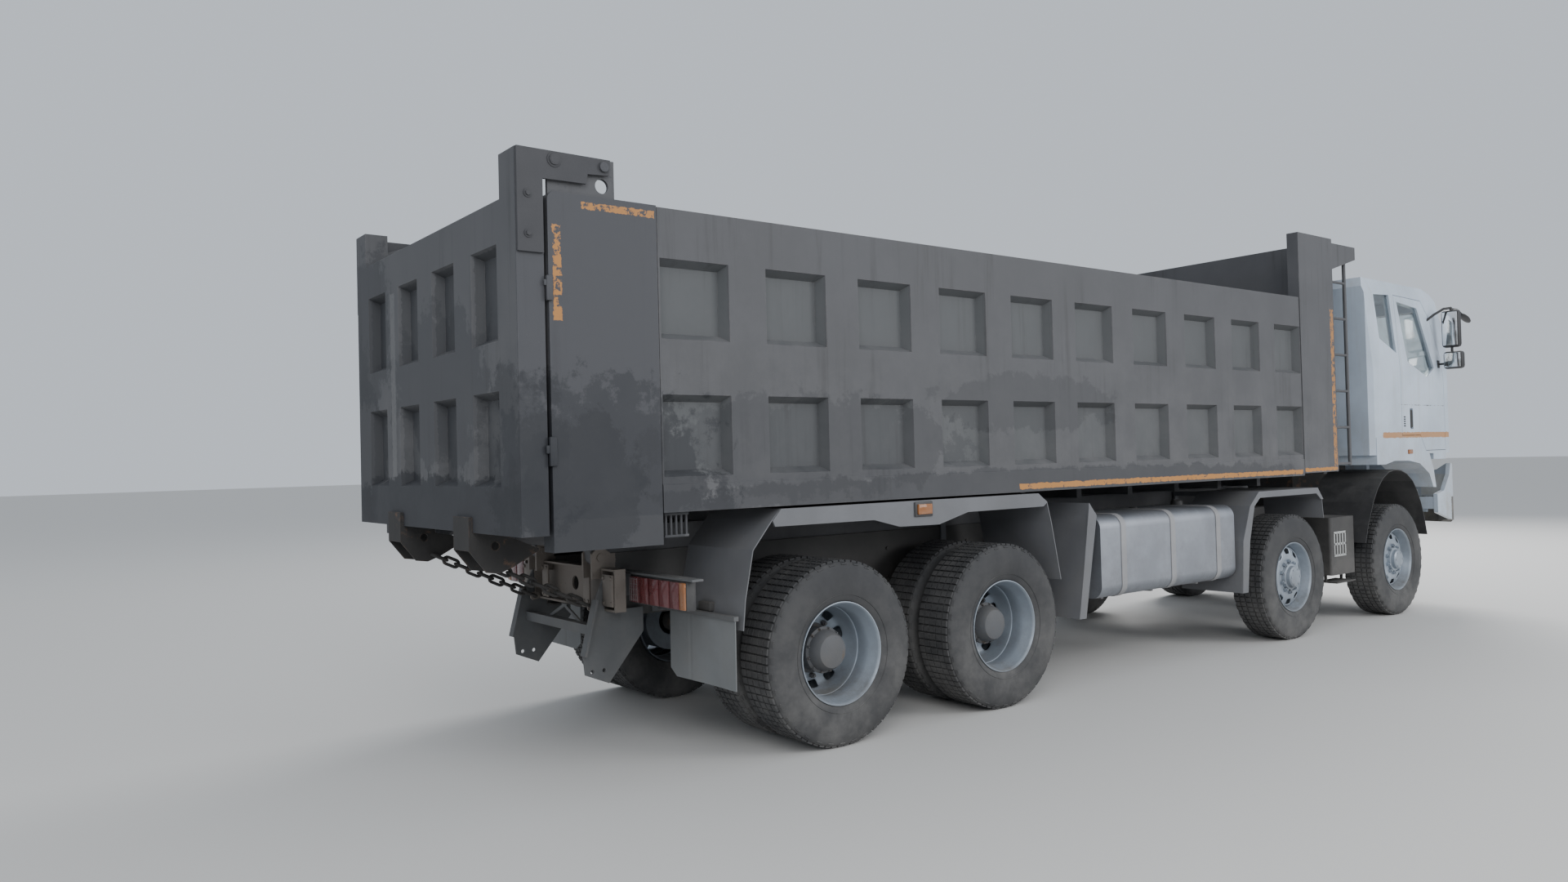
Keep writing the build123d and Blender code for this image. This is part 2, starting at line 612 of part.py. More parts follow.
def front_axles():
    """Forged steered axle beams with a dropped centre and an eye at each end."""
    half = [(0, -165), (250, -160), (480, -130), (560, -122), (790, -48), (KINGPIN_Y - 35, -48),
            (KINGPIN_Y - 35, 48), (760, 40), (560, -30), (480, -35), (380, -35), (250, -60), (0, -70)]
    outline = half + [(-y, z) for y, z in half[::-1] if y]
    beam = end_plate(outline, (-AXLE_BEAM_T / 2, AXLE_BEAM_T / 2))
    web = AXLE_BEAM_T / 2 - 20
    pocket = [(300, -78), (700, 2), (700, -38), (300, -142)]
    for x in ((web, AXLE_BEAM_T), (-AXLE_BEAM_T, -web)):
        beam = beam - end_plate(pocket, x) - end_plate([(-y, z) for y, z in pocket[::-1]], x)
    eye = rod_z(0, KINGPIN_Y, (-EYE_HALF, EYE_HALF), 52)
    hole = rod_z(0, KINGPIN_Y, (-EYE_HALF - 1, EYE_HALF + 1), KINGPIN_R + SEAT)
    beam = beam + eye + mirrored(eye) - hole - mirrored(hole)
    write("front_axle_beams", *[Pos(AXLE_X[a], 0, WHEEL_Z) * beam for a in ("1", "2")])


def knuckles():
    """A fork round each axle eye with its kingpin, spindle, backing plate and steering arm."""
    lug_gap = 1.0
    lug = block((-55, 55), (KINGPIN_Y - 50, KINGPIN_Y + 95), (EYE_HALF + lug_gap, EYE_HALF + 42))
    web = block((-55, 55), (KINGPIN_Y + 60, KINGPIN_Y + 95), (-EYE_HALF - 42, EYE_HALF + 42))
    pin = rod_z(0, KINGPIN_Y, (-EYE_HALF - 60, EYE_HALF + 60), KINGPIN_R)
    disc_y = TYRE_Y_OUT + 45 - RIM_WALL
    spindle = rod_y(0, (KINGPIN_Y + 90, disc_y - SEAT), 0, 48)
    backing = drum([(KINGPIN_Y + 95, 205), (KINGPIN_Y + 165, 205)], 16)
    near, far = KINGPIN_Y - 45, KINGPIN_Y + 40
    arm = top_plate([(30, near), (-30, near), (-190, near - 45), (-190, near - 5), (-30, far), (30, far)],
                    (-EYE_HALF - 70, -EYE_HALF - 40))
    knuckle = lug + Pos(0, 0, -2 * EYE_HALF - 42 - lug_gap) * lug + web + pin + spindle + backing + arm
    for axle in ("1", "2"):
        place = Pos(AXLE_X[axle], 0, WHEEL_Z)
        write(f"knuckle_{axle}_left", place * knuckle)
        write(f"knuckle_{axle}_right", place * mirrored(knuckle))


def tank():
    """The right-hand fuel tank with its straps and brackets."""
    width, height = TANK_Y[1] - TANK_Y[0], TANK_Z[1] - TANK_Z[0]
    centre = Pos(TANK_X[0], -(TANK_Y[0] + TANK_Y[1]) / 2, (TANK_Z[0] + TANK_Z[1]) / 2)
    shell = centre * extrude(Plane.YZ * RectangleRounded(width, height, TANK_R), amount=TANK_X[1] - TANK_X[0])
    write("fuel_tank", shell)
    grow = 2 * (STRAP_T + SEAT)
    straps = []
    for x in STRAP_X:
        section = RectangleRounded(width + grow, height + grow, TANK_R + grow / 2)
        section = section - RectangleRounded(width + 2 * SEAT, height + 2 * SEAT, TANK_R + SEAT)
        band = Pos(x - STRAP_W / 2 - TANK_X[0], 0, 0) * centre * extrude(Plane.YZ * section, amount=STRAP_W)
        under, inside = TANK_Z[0] - STRAP_T - SEAT, -TANK_Y[0] + STRAP_T + SEAT
        foot = end_plate([(-RAIL_OUT - SEAT, 1060), (-RAIL_OUT - SEAT, TANK_Z[0] - 60), (-1000, TANK_Z[0] - 36),
                          (-1000, under), (inside, under), (inside, 1060)], (x - 15, x + 15))
        straps.append(band + foot)
    write("tank_straps", *straps)


def left_equipment():
    """Battery box and air reservoirs on the left, the box with the side step and the air intake."""
    rail = RAIL_OUT + SEAT
    x, y, z = BATTERY
    battery = fillet(block(x, y, z).edges().filter_by(Axis.X), 25)
    battery = battery + block((x[0] + 60, x[1] - 60), (rail, y[0] + 2), (860, 900))
    sets = []
    for low in RESERVOIR_X:
        tanks = [rod_x((low, low + RESERVOIR_L), y, z, RESERVOIR_R) for y, z in RESERVOIR_YZ]
        hook = [(rail, 745), (1100, 745), (1100, 772), (rail + 16, 772), (rail + 16, 1000), (rail, 1000)]
        hooks = [end_plate(hook, (low + x, low + x + 40)) for x in (100, 290)]
        sets.append(tanks[0] + tanks[1] + hooks[0] + hooks[1])
    write("air_reservoirs", *sets)
    x, y, z = STEP_BOX
    box = fillet(block(x, y, z).edges().filter_by(Axis.Z), 25)
    box = box + block((x[0] + 30, x[1] - 30), (y[1] - 1, -rail), (860, 900))
    box = box + block((x[0] + 10, x[1] - 90), (y[0] - 40, -1000), (400, 412))
    for low in (x[0] + 30, x[1] - 130):
        box = box + block((low, low + 20), (-1080, -1060), (410, z[0] + 1))
    write("side_boxes", battery, box)
    x, y, z = DUCT
    duct = fillet(block(x, y, z).edges().filter_by(Axis.Z), 30)
    duct = duct + block((x[0], x[1] - 10), (rail, 1000), (1200, 1260))
    duct = duct + block((x[0] + 30, x[1] - 40), (rail, rail + 40), (900, 1210))
    write("air_intake", duct)


def engine():
    """Engine and gearbox as plain blocks between the rails."""
    flange = RAIL_OUT - RAIL_FLANGE
    body = block(ENGINE_X, (-flange + 25, flange - 25), ENGINE_Z)
    body = body + block((GEARBOX_REAR, ENGINE_X[0] + 1), (-230, 230), (640, 1050))
    for x in (ENGINE_X[0] + 100, ENGINE_X[1] - 150):
        body = body + block((x - 40, x + 40), (-flange + SEAT, flange - SEAT), (960, 1040))
    write("engine_block", body)


def bumper():
    """The bumper with raised corners, and a boarding step behind each corner."""
    front, rear, side = BUMPER_FRONT, BUMPER_REAR, CAB_HALF + 5
    plan = [(front, 0), (front, 900), (front - 55, 1120), (front - 150, side), (8040, side), (8040, side - 40),
            (front - 175, side - 40), (front - 110, 1080), (rear, 880), (rear, 0)]
    corner = (BUMPER_MIDDLE, side + 1)
    top = BUMPER_CORNER_TOP
    bar = top_plate(plan, (BUMPER_Z[0], top))
    bar = bar - block((rear - 60, front + 1), (-1, BUMPER_MIDDLE), (BUMPER_Z[1], top + 1))
    bar = bar - side_plate([(8360, top + 10), (8400, top), (8575, 1262), (8600, top + 10)], corner)
    behind = [(7900, top + 10), (8380, top + 10), (8340, 1330), (8200, 1170), (8000, 1135)]
    bar = bar - side_plate(behind, corner)
    bar = bar - side_plate([(8000, 800), (8480, 800), (8430, 850), (8000, 960)], corner)
    window = [(front + 10, 900), (front + 10, 1115), (front - 55, 1205), (front - 190, 1205),
              (front - 190, 900)]
    low, high = HEADLAMP_Z
    lamp = bar & top_plate(window, (low + SEAT, high - SEAT))
    lamp = lamp & block((front - 300, front + 20), (900 + SEAT, 1205 - SEAT), HEADLAMP_Z)
    write("headlamps", *both(lamp))
    bar = bar - top_plate(window, HEADLAMP_Z)
    edge = BUMPER_Z[1] + 1
    bar = bar - side_plate([(front - 25, edge), (front + 1, edge), (front + 1, edge - 56)], (-1, BUMPER_MIDDLE))
    tread_y = (980, side - 39)
    tread = block((8050, 8340), tread_y, (985, 997)) + block((8050, 8062), tread_y, (985, 1110))
    left = bar + tread + block((8120, 8160), (RAIL_OUT + SEAT, 1100), (950, 986))
    write("bumper", left + mirrored(left))


def well_x(z):
    """How far back the sloped wall of the hoist's well lies at a height."""
    return HEAD_X[1] - (WELL_TOP - z) * WELL_SLOPE


def well(grow, low, front):
    """The wedge that the hoist leans into when the body is tipped."""
    top = WELL_TOP + (front - HEAD_X[1]) / WELL_SLOPE
    shift = grow * math.hypot(1, WELL_SLOPE)
    return side_plate([(front, top + shift / WELL_SLOPE), (well_x(low) - shift, low), (front, low)],
                      (-WELL_HALF - grow, WELL_HALF + grow))


def body_floor():
    """Floor plate with long beams, cross bearers and the hinge lugs at the tail."""
    between = BODY_HALF - WALL_T
    plate = block((POST_REAR_X[0], HEAD_X[0] - SEAT), (-between, between), (FLOOR_TOP - FLOOR_T, FLOOR_TOP))
    beam = block((TIP_X + 40, SUBFRAME_FRONT - 20), BODY_BEAM_Y, (BODY_BEAM_BOTTOM, BEARER_Z[0] + 1))
    end, start = POST_REAR_X[0] + 20, TIP_X + 41
    tail = side_plate([(end, BEARER_Z[0] - 20), (start, BODY_BEAM_BOTTOM), (start, BEARER_Z[0] + 1),
                       (end, BEARER_Z[0] + 1)], BODY_BEAM_Y)
    lug = side_plate([(TIP_X - 60, BEARER_Z[0]), (TIP_X - TIP_LUG_R, TIP_Z), (TIP_X + TIP_LUG_R, TIP_Z),
                      (TIP_X + 160, BEARER_Z[0])], TIP_LUG_Y)
    lug = lug + rod_y(TIP_X, TIP_LUG_Y, TIP_Z, TIP_LUG_R)
    half = beam + tail + lug - rod_y(TIP_X, (TIP_LUG_Y[0] - 30, TIP_LUG_Y[1] + 30), TIP_Z, TIP_PIN_R + SEAT)
    whole = plate + half + mirrored(half)
    first = POST_REAR_X[0] + 110
    pitch = (HEAD_X[0] - 80 - first) / (BEARER_COUNT - 1)
    for i in range(BEARER_COUNT):
        x = first + i * pitch
        whole = whole + block((x - 30, x + 30), (-BEARER_HALF, BEARER_HALF), (BEARER_Z[0], BEARER_Z[1] + 1))
    notch_x = (well_x(FLOOR_TOP) - WELL_T * math.hypot(1, WELL_SLOPE) - SEAT, HEAD_X[1])
    notch_y = WELL_HALF + WELL_T + SEAT
    notch = block(notch_x, (-notch_y, notch_y), (BEARER_Z[0] - 1, FLOOR_TOP + 1))
    write("body_floor", whole - notch)


def pocket(place, w, h):
    """A pressed recess with sloped sides: its mouth lies in the given plane and it goes down from there."""
    rings = []
    for depth, inset in ((-1, 0), (0, 0), (RECESS_DEPTH, RECESS_SLOPE)):
        x, y = w / 2 - inset, h / 2 - inset
        corners = [(-x, -y), (x, -y), (x, y), (-x, y)]
        rings.append([place.from_local_coords(Vector(cx, cy, -depth)) for cx, cy in corners])
    return skinned(rings)


def side_walls():
    """Long side walls with two rows of pressed recesses above a sill rail."""
    wall = block(WALL_X, (BODY_HALF - WALL_T, BODY_HALF - WALL_RECESSED), (SIDE_BOTTOM, SIDE_TOP))
    sill = [(BODY_HALF - WALL_T, SIDE_BOTTOM), (BODY_HALF, SIDE_BOTTOM), (BODY_HALF, SILL_TOP - WALL_RECESSED),
            (BODY_HALF - WALL_RECESSED, SILL_TOP), (BODY_HALF - WALL_T, SILL_TOP)]
    wall = wall + end_plate(sill, WALL_X)
    cuts = []
    for low, high in RECESS_ROWS:
        for i in range(RECESS_COUNT):
            x = RECESS_FIRST + i * RECESS_PITCH + RECESS_W / 2
            middle = (x, BODY_HALF - WALL_RECESSED, (low + high) / 2)
            mouth = Plane(origin=middle, x_dir=(1, 0, 0), z_dir=(0, 1, 0))
            cuts.append(pocket(mouth, RECESS_W, high - low))
    seam_y = (BODY_HALF - SEAM_DEPTH, BODY_HALF + 1)
    for low in (WALL_X[0], WALL_X[1] - SEAM_W):
        cuts.append(block((low, low + SEAM_W), seam_y, (SIDE_BOTTOM - 1, SIDE_TOP + 1)))
    wall = wall - cuts
    write("side_walls", *both(wall))


def body_posts():
    """Wide flat posts that close the walls: the rear pair with hinge lugs and the tall front pair."""
    x, low = POST_REAR_X, POST_REAR_BOTTOM
    y = (BODY_HALF - WALL_T, BODY_HALF)
    top = SIDE_TOP + 5
    rear = side_plate([(x[0], low), (x[1], low), (x[1], top), (x[0], top)], y)
    rear = fillet(rear.edges().filter_by(Axis.Y).group_by(Axis.X)[0].sort_by(Axis.Z)[-1], POST_CORNER_R)
    lug_y = (BODY_HALF - 36, BODY_HALF - 16)
    lug = side_plate([(-1790, top - 30), (-1428, top - 30), (-1428, 3172), (-1560, 3172), (-1790, 3085)], lug_y)
    lug = lug - rod_y(-1497, (lug_y[0] - 1, lug_y[1] + 1), 3040, 36)
    boss = rod_y(GATE_PIVOT_X, (lug_y[0] - 8, BODY_HALF + 22), GATE_PIVOT_Z, 20)
    rear = rear + lug + boss
    x, z = POST_FRONT_X, POST_FRONT_Z
    front = block(x, (BODY_HALF - POST_FRONT_T, BODY_HALF), z)
    write("body_posts", *both(rear), *both(front))


def headboard():
    """The front wall with its ribs, the hoist's well and bracket, the canopy over the gap and the ladder."""
    inner = BODY_HALF - POST_FRONT_T
    wall = block(HEAD_X, (-inner, inner), (SIDE_BOTTOM, HEAD_TOP))
    for y in (-900, -450, 450, 900):
        wall = wall + block((HEAD_X[1] - 1, HEAD_X[1] + HEAD_RIB), (y - 45, y + 45), (SIDE_BOTTOM, HEAD_TOP))
    for z in (1700, 2500):
        wall = wall + block((HEAD_X[1] - 1, HEAD_X[1] + HEAD_RIB - 10), (-inner, inner), (z - 40, z + 40))
    wall = wall + well(WELL_T, FLOOR_TOP + SEAT, HEAD_X[0] + 1)
    wall = wall - well(0, SIDE_BOTTOM - 1, HEAD_X[1] + HEAD_RIB + 1)
    front = POST_FRONT_X[1]
    outline = [(front + SEAT, 3283), (front + 20, 3275), (CANOPY_FRONT, 3405), (CANOPY_FRONT, CANOPY_TOP),
               (front + SEAT, CANOPY_TOP)]
    gusset = side_plate(outline, (BODY_HALF - 30, BODY_HALF - 18))
    wide = (-BODY_HALF + 18, BODY_HALF - 18)
    narrow = (-inner + SEAT, inner - SEAT)
    roof = block((front + SEAT, CANOPY_FRONT), wide, (CANOPY_TOP - 20, CANOPY_TOP))
    roof = roof + block(HEAD_X, narrow, (HEAD_TOP - 1, CANOPY_TOP))
    roof = roof + block((HEAD_X[1] - 1, front + 1), narrow, (CANOPY_TOP - 20, CANOPY_TOP))
    lip = block((CANOPY_FRONT - 12, CANOPY_FRONT), wide, (3405, CANOPY_TOP))
    back, tip = HEAD_X[1] - 1, HOIST_X + 60
    cheek_y = HOIST_EYE_R + MOVE_GAP + 4
    cheek = side_plate([(back, HOIST_TOP - 260), (tip, HOIST_TOP - 70), (tip, HOIST_TOP + 60),
                        (back, HOIST_TOP + 160)], (cheek_y, cheek_y + 20))
    ladder_y = -BODY_HALF + 45
    ladder = rod_z(LADDER_X, ladder_y, (1480, CANOPY_TOP - 19), 16)
    for i in range(LADDER_RUNGS):
        ladder = ladder + rod_x((front + SEAT, LADDER_X), ladder_y, 1496 + LADDER_PITCH * i, 12)
    write("headboard", wall + gusset + mirrored(gusset) + roof + lip + cheek + mirrored(cheek) + ladder)


def tailgate():
    """The top-hung tailgate: a thick leaf with two rows of recesses and a tall post at each end."""
    x = (GATE_REAR, GATE_REAR + GATE_T)
    leaf = block(x, (-GATE_HALF, GATE_HALF), GATE_Z)
    post = block(x, (GATE_HALF - GATE_POST_W, GATE_HALF), (GATE_Z[0], GATE_POST_TOP))
    leaf = leaf + post + mirrored(post)
    cuts = []
    for low, high in GATE_RECESS_ROWS:
        for y in GATE_RECESS_Y:
            mouth = Plane(origin=(GATE_REAR, y, (low + high) / 2), x_dir=(0, 1, 0), z_dir=(-1, 0, 0))
            cuts.append(pocket(mouth, GATE_RECESS_W, high - low))
    leaf = leaf - cuts
    write("tailgate", leaf)


def tailgate_brackets():
    """The gate's hinge arms at its upper corners and the lock brackets under it, one pair each."""
    arm_y = (BODY_HALF - 16 + MOVE_GAP, BODY_HALF + 12)
    low = GATE_REAR + 3
    arm = side_plate([(low, 2675), (low + 131, 2675), (low + 131, 3031), (-1595, 3034), (-1587, 3083),
                      (-1471, 3090), (-1462, 3168), (low, GATE_POST_TOP)], (GATE_HALF + SEAT, arm_y[1]))
    arm = arm - rod_y(GATE_PIVOT_X, (arm_y[0] - 20, arm_y[1] + 1), GATE_PIVOT_Z, 20 + SEAT)
    arm = arm + rod_y(-1765, (GATE_HALF + SEAT, arm_y[1] + 12), GATE_PIVOT_Z, 26)
    bottom = GATE_Z[0] - SEAT
    profile = [(LOCK_REAR, 1410), (LOCK_REAR, 1235), (-1890, 1120), (-1820, 1110), (-1740, 1140), (-1600, 1215),
               (-1600, 1228), (-1835, bottom), (GATE_REAR - SEAT, bottom), (GATE_REAR - SEAT, 1410)]
    low, high = LOCK_Y
    plate = side_plate(profile, (low, low + PLATE_T)) + side_plate(profile, (high - PLATE_T, high))
    plate = plate + block((LOCK_REAR, GATE_REAR - SEAT), LOCK_Y, (1235, 1410))
    plate = plate - rod_y(-1840, (low - 1, high + 1), 1255, 22)
    write("tailgate_brackets", *both(arm), *both(plate))


def chain_link(flat):
    """One link along X, drawn with flats: a ring with cut corners, lying flat or standing."""
    outer = chamfer(Rectangle(LINK_L, LINK_W).vertices(), LINK_W / 3)
    hole = chamfer(Rectangle(LINK_L - 2 * LINK_WIRE, LINK_W - 2 * LINK_WIRE).vertices(), LINK_W / 8)
    link = extrude(outer - hole, amount=LINK_WIRE / 2, both=True)
    return link if flat else Rot(90, 0, 0) * link


def chains():
    """Two chains of interlocked links, each turned across the one before. The first holds the frame's eye."""
    dx, dz = CHAIN_END[0] - CHAIN_EYE[0], CHAIN_END[1] - CHAIN_EYE[1]
    length = math.hypot(dx, dz)
    lean = math.degrees(math.atan2(dz, -dx))
    links = []
    for i in range(LINK_COUNT):
        share = ((LINK_L - LINK_WIRE) / 2 + i * LINK_PITCH) / length
        place = Pos(CHAIN_EYE[0] + share * dx, CHAIN_Y, CHAIN_EYE[1] + share * dz)
        links.append(place * Rot(0, lean, 0) * chain_link(i % 2 == 0))
    write("chains", *[link for one in links for link in both(one)])


def hoist_bar(radius, low, high):
    """An upright round of the hoist, drawn with flats."""
    return Pos(HOIST_X, 0, low) * extrude(RegularPolygon(radius, HOIST_FLATS), amount=high - low)


def hoist():
    """The front telescopic hoist: a barrel and four stages that slide out of it."""
    base = HOIST_Z + HOIST_FOOT
    foot = rod_y(HOIST_X, (-54, 54), HOIST_Z, 52) - rod_y(HOIST_X, (-55, 55), HOIST_Z, TIP_PIN_R + SEAT)
    foot = foot + rod_z(HOIST_X, 0, (HOIST_Z + 45, base + 8), 50)
    for i, (name, radius) in enumerate(HOIST_STAGES):
        last = i == len(HOIST_STAGES) - 1
        low = base + i * HOIST_STEP
        high = base + HOIST_TUBE + i * HOIST_STEP
        if last:
            tube = hoist_bar(radius, low, HOIST_TOP - 30)
            tube = tube + rod_y(HOIST_X, (-HOIST_EYE_R, HOIST_EYE_R), HOIST_TOP, 52)
        else:
            bore = HOIST_STAGES[i + 1][1] + HOIST_CLEARANCE
            tube = hoist_bar(radius, low, high) - hoist_bar(bore, low + HOIST_STEP - SEAT, high + 1)
        if i == 0:
            tube = tube + foot
        write(name, tube)


def cab_form(inset):
    """The cab's outer form, or the same form moved inwards by the given wall."""
    face = make_face(Polyline(*CAB_SIDE_VIEW, close=True))
    if inset:
        face = offset(face, amount=-inset, kind=Kind.INTERSECTION)
    long = Pos(0, CAB_HALF + 10, 0) * extrude(Plane.XZ * face, amount=2 * CAB_HALF + 20)
    half = CAB_HALF - inset
    eaves, top = half - 45, CAB_TOP + 20
    end = [(half, 1000), (half, CAB_BELT), (eaves, CAB_EAVES), (half - 110, top), (-half + 110, top),
           (-eaves, CAB_EAVES), (-half, CAB_BELT), (-half, 1000)]
    cross = end_plate(end, (CAB_REAR - 10, CAB_FRONT + 10))
    front, rear = CAB_FRONT - inset, CAB_REAR + inset
    plan = [(rear, half - 40), (rear + 40, half), (front - 220, half), (front - 90, half - 60),
            (front - 25, half - 190), (front, half - 480)]
    plan = plan + [(x, -y) for x, y in plan[::-1]]
    above = top_plate(plan, (1000, CAB_TOP + 30))
    return long & cross & above


def grown(points, amount, y):
    """A plate between two widths, with an outline that is grown all round."""
    face = offset(make_face(Polyline(*points, close=True)), amount=amount, kind=Kind.INTERSECTION)
    return Pos(0, y[1], 0) * extrude(Plane.XZ * face, amount=y[1] - y[0])


def cab_shell():
    """The cab's walls with their openings, the front panel, pivot arms, wheel arches and steps."""
    door_hole = grown(DOOR_OUTLINE, 0, CAB_SIDE_Y)
    quarter = grown(QUARTER_WINDOW, 0, CAB_SIDE_Y)
    screen = end_plate(WINDSCREEN, WINDSCREEN_X)
    pane_half, pane_low, pane_high = REAR_PANE
    rear_window = block((CAB_REAR - 1, CAB_REAR + CAB_WALL + 1), (-pane_half, pane_half), (pane_low, pane_high))
    whole = cab_form(0) - cab_form(CAB_WALL)
    whole = whole - door_hole - mirrored(door_hole) - quarter - mirrored(quarter) - screen - rear_window
    panel = [(-850, CAB_PANEL_BOTTOM), (850, CAB_PANEL_BOTTOM), (850, CAB_BOTTOM + 1), (-850, CAB_BOTTOM + 1)]
    whole = whole + end_plate(panel, (8545, CAB_FRONT))
    arm = block((CAB_HINGE_X - 35, CAB_HINGE_X + 35), CAB_HINGE_Y, (CAB_HINGE_Z, CAB_BOTTOM + 1))
    arm = arm + rod_y(CAB_HINGE_X, CAB_HINGE_Y, CAB_HINGE_Z, 40)
    arm = arm - rod_y(CAB_HINGE_X, (CAB_HINGE_Y[0] - 1, CAB_HINGE_Y[1] + 1), CAB_HINGE_Z, CAB_PIN_R + SEAT)
    whole = whole + arm + mirrored(arm)
    whole = whole - block((CAB_FRONT - GRILLE_DEPTH, CAB_FRONT + 1), (-GRILLE_HALF, GRILLE_HALF), GRILLE_Z)
    rear, low = CAB_REAR + 50, CAB_BOTTOM
    arch_in = [(rear + 76, 1470), (6900, 1470), (7089, 1500), (7406, 1497), (7651, 1464), (7863, 1357),
               (7949, 1216)]
    arch_out = [(8013, 1213), (7965, 1409), (7880, low + 1), (rear, low + 1), (rear, 1470)]
    arch = side_plate(arch_in + arch_out, (860, CAB_HALF + ARCH_PROUD))
    lip = [(rear, low - 1), (7880, low - 1), (7756, 1610), (7600, 1690), (7395, 1725), (rear, 1728)]
    arch = arch + side_plate(lip, (CAB_HALF - 1, CAB_HALF + ARCH_PROUD))
    tread = block((7990, 8300), (1000, CAB_HALF), (1500, low + 1))
    write("cab_shell", whole + arch + mirrored(arch) + tread + mirrored(tread))


def doors():
    """The two doors, each with its window opening and the recess of its handle."""
    door = (cab_form(0) & grown(DOOR_OUTLINE, -DOOR_GAP, CAB_SIDE_Y)) - cab_form(CAB_WALL)
    door = door - grown(DOOR_WINDOW, 0, CAB_SIDE_Y)
    ledge_y = (CAB_SIDE_Y[0] - 1, CAB_HALF - CAB_WALL)
    door = door - block(DOOR_X, ledge_y, (CAB_BOTTOM, CAB_BOTTOM + CAB_WALL + 1))
    door = door - block(HANDLE_X, (CAB_HALF - HANDLE_DEPTH, CAB_HALF + 1), HANDLE_Z)
    write("door_left", door)
    write("door_right", mirrored(door))


def glass():
    """Panes that fill the openings of the cab and its doors."""
    skin = cab_form(GLASS_INSET) - cab_form(GLASS_INSET + GLASS_T)
    door_glass = skin & grown(DOOR_WINDOW, -SEAT, CAB_SIDE_Y)
    write("door_glass_left", door_glass)
    write("door_glass_right", mirrored(door_glass))
    quarter_glass = skin & grown(QUARTER_WINDOW, -SEAT, CAB_SIDE_Y)
    shrunk = [(y - math.copysign(SEAT, y), z + SEAT if z < CAB_BELT else z - SEAT) for y, z in WINDSCREEN]
    front_glass = skin & end_plate(shrunk, WINDSCREEN_X)
    half, low, high = REAR_PANE
    rear_x = (CAB_REAR + GLASS_INSET, CAB_REAR + GLASS_INSET + GLASS_T)
    rear_glass = block(rear_x, (-half + SEAT, half - SEAT), (low + SEAT, high - SEAT))
    write("cab_glass", *both(quarter_glass), front_glass, rear_glass)


def grille():
    """A frame with level bars, set into the front panel."""
    half = GRILLE_HALF - SEAT
    low, high = GRILLE_Z
    x = (CAB_FRONT - GRILLE_DEPTH + SEAT, CAB_FRONT)
    whole = block(x, (-half, half), (low + SEAT, high - SEAT))
    pitch = (high - low) / GRILLE_BARS
    for i in range(GRILLE_BARS):
        z = low + pitch * i
        back, mouth, top = x[0] + 10, x[1] + 1, z + pitch - 4
        gap = [(back, z + 34), (mouth, z + 26), (mouth, top), (back, top)]
        whole = whole - side_plate(gap, (-half + 30, half - 30))
    write("grille", whole)


def interior():
    """Seats, bunk, dashboard and steering wheel."""
    write("seats", *seats())
    dash = block((8150, CAB_FRONT - CAB_WALL - 50), (-980, 980), (1950, 2290))
    dash = dash - side_plate([(8149, 2291), (8260, 2291), (8149, 2150)], (-1060, 1060))
    dash = dash + block((8250, 8330), (-980, 980), (CAB_BOTTOM + CAB_WALL + SEAT, 1951))
    place = Pos(8000, 550, 2250) * Rot(0, -65, 0)
    rim = RegularPolygon(WHEEL_R, 20) - RegularPolygon(WHEEL_R - 28, 20)
    wheel = place * (extrude(rim, amount=12, both=True) + Box(34, 2 * WHEEL_R - 30, 14)
                     + Pos(-WHEEL_R / 2 + 6, 0, 0) * Box(WHEEL_R - 12, 34, 14) + Cylinder(45, 40))
    column = place * Pos(0, 0, -150) * Cylinder(28, 300)
    write("dashboard", dash + wheel + column)


def seats():
    """Driver's and passenger's seats on boxes, and a bunk behind them."""
    floor = CAB_BOTTOM + CAB_WALL + SEAT
    shapes = []
    for y in (550, -550):
        base = block((7380, 7780), (y - 210, y + 210), (floor, 1900))
        cushion = block((7330, 7830), (y - 250, y + 250), (1899, 2010))
        back = side_plate([(7300, 1960), (7420, 1960), (7300, 2700), (7200, 2700)], (y - 240, y + 240))
        shapes.append(base + cushion + back)
    shapes.append(block((CAB_REAR + CAB_WALL + 5, 7150), (-1100, 1100), (floor, 2000)))
    return shapes


def rod_between(start, end, radius):
    """A round bar from one point to another."""
    middle = [(a + b) / 2 for a, b in zip(start, end)]
    way = [b - a for a, b in zip(start, end)]
    return Plane(origin=middle, z_dir=way) * Cylinder(radius, math.dist(start, end))


def mirrors():
    """A tall mirror and a wide-angle mirror on each door, held by two tube arms."""
    out = 1370
    bar = rod_between((8010, CAB_HALF - 70, 2915), (MIRROR_X, out, 3050), 14)
    bar = bar + rod_z(MIRROR_X, out, (2440, 3064), 12) + rod_y(MIRROR_X, (CAB_HALF - 60, out), 2480, 11)
    skin = CAB_HALF + SEAT
    cab_side = [(skin, 1000), (skin, CAB_BELT), (skin - 45, CAB_EAVES), (0, CAB_EAVES), (0, 1000)]
    bar = bar - end_plate(cab_side, (7900, 8400))
    head = block((MIRROR_X - 45, MIRROR_X + 45), (out - 90, out + 90), (2640, 3030))
    small = block((MIRROR_X - 45, MIRROR_X + 50), (out - 80, out + 110), (2420, 2605))
    side = bar + chamfer(head.edges().filter_by(Axis.X), 26) + chamfer(small.edges().filter_by(Axis.X), 22)
    write("mirror_left", side)
    leaf = Pos(8400, 1425, 2950) * Rot(0, 24, 0) * extrude(Ellipse(105, 42), amount=16, both=True)
    leaf = leaf + rod_between((MIRROR_X, out, 3040), (8330, 1425, 2985), 12)
    write("mirror_right", mirrored(side + leaf))


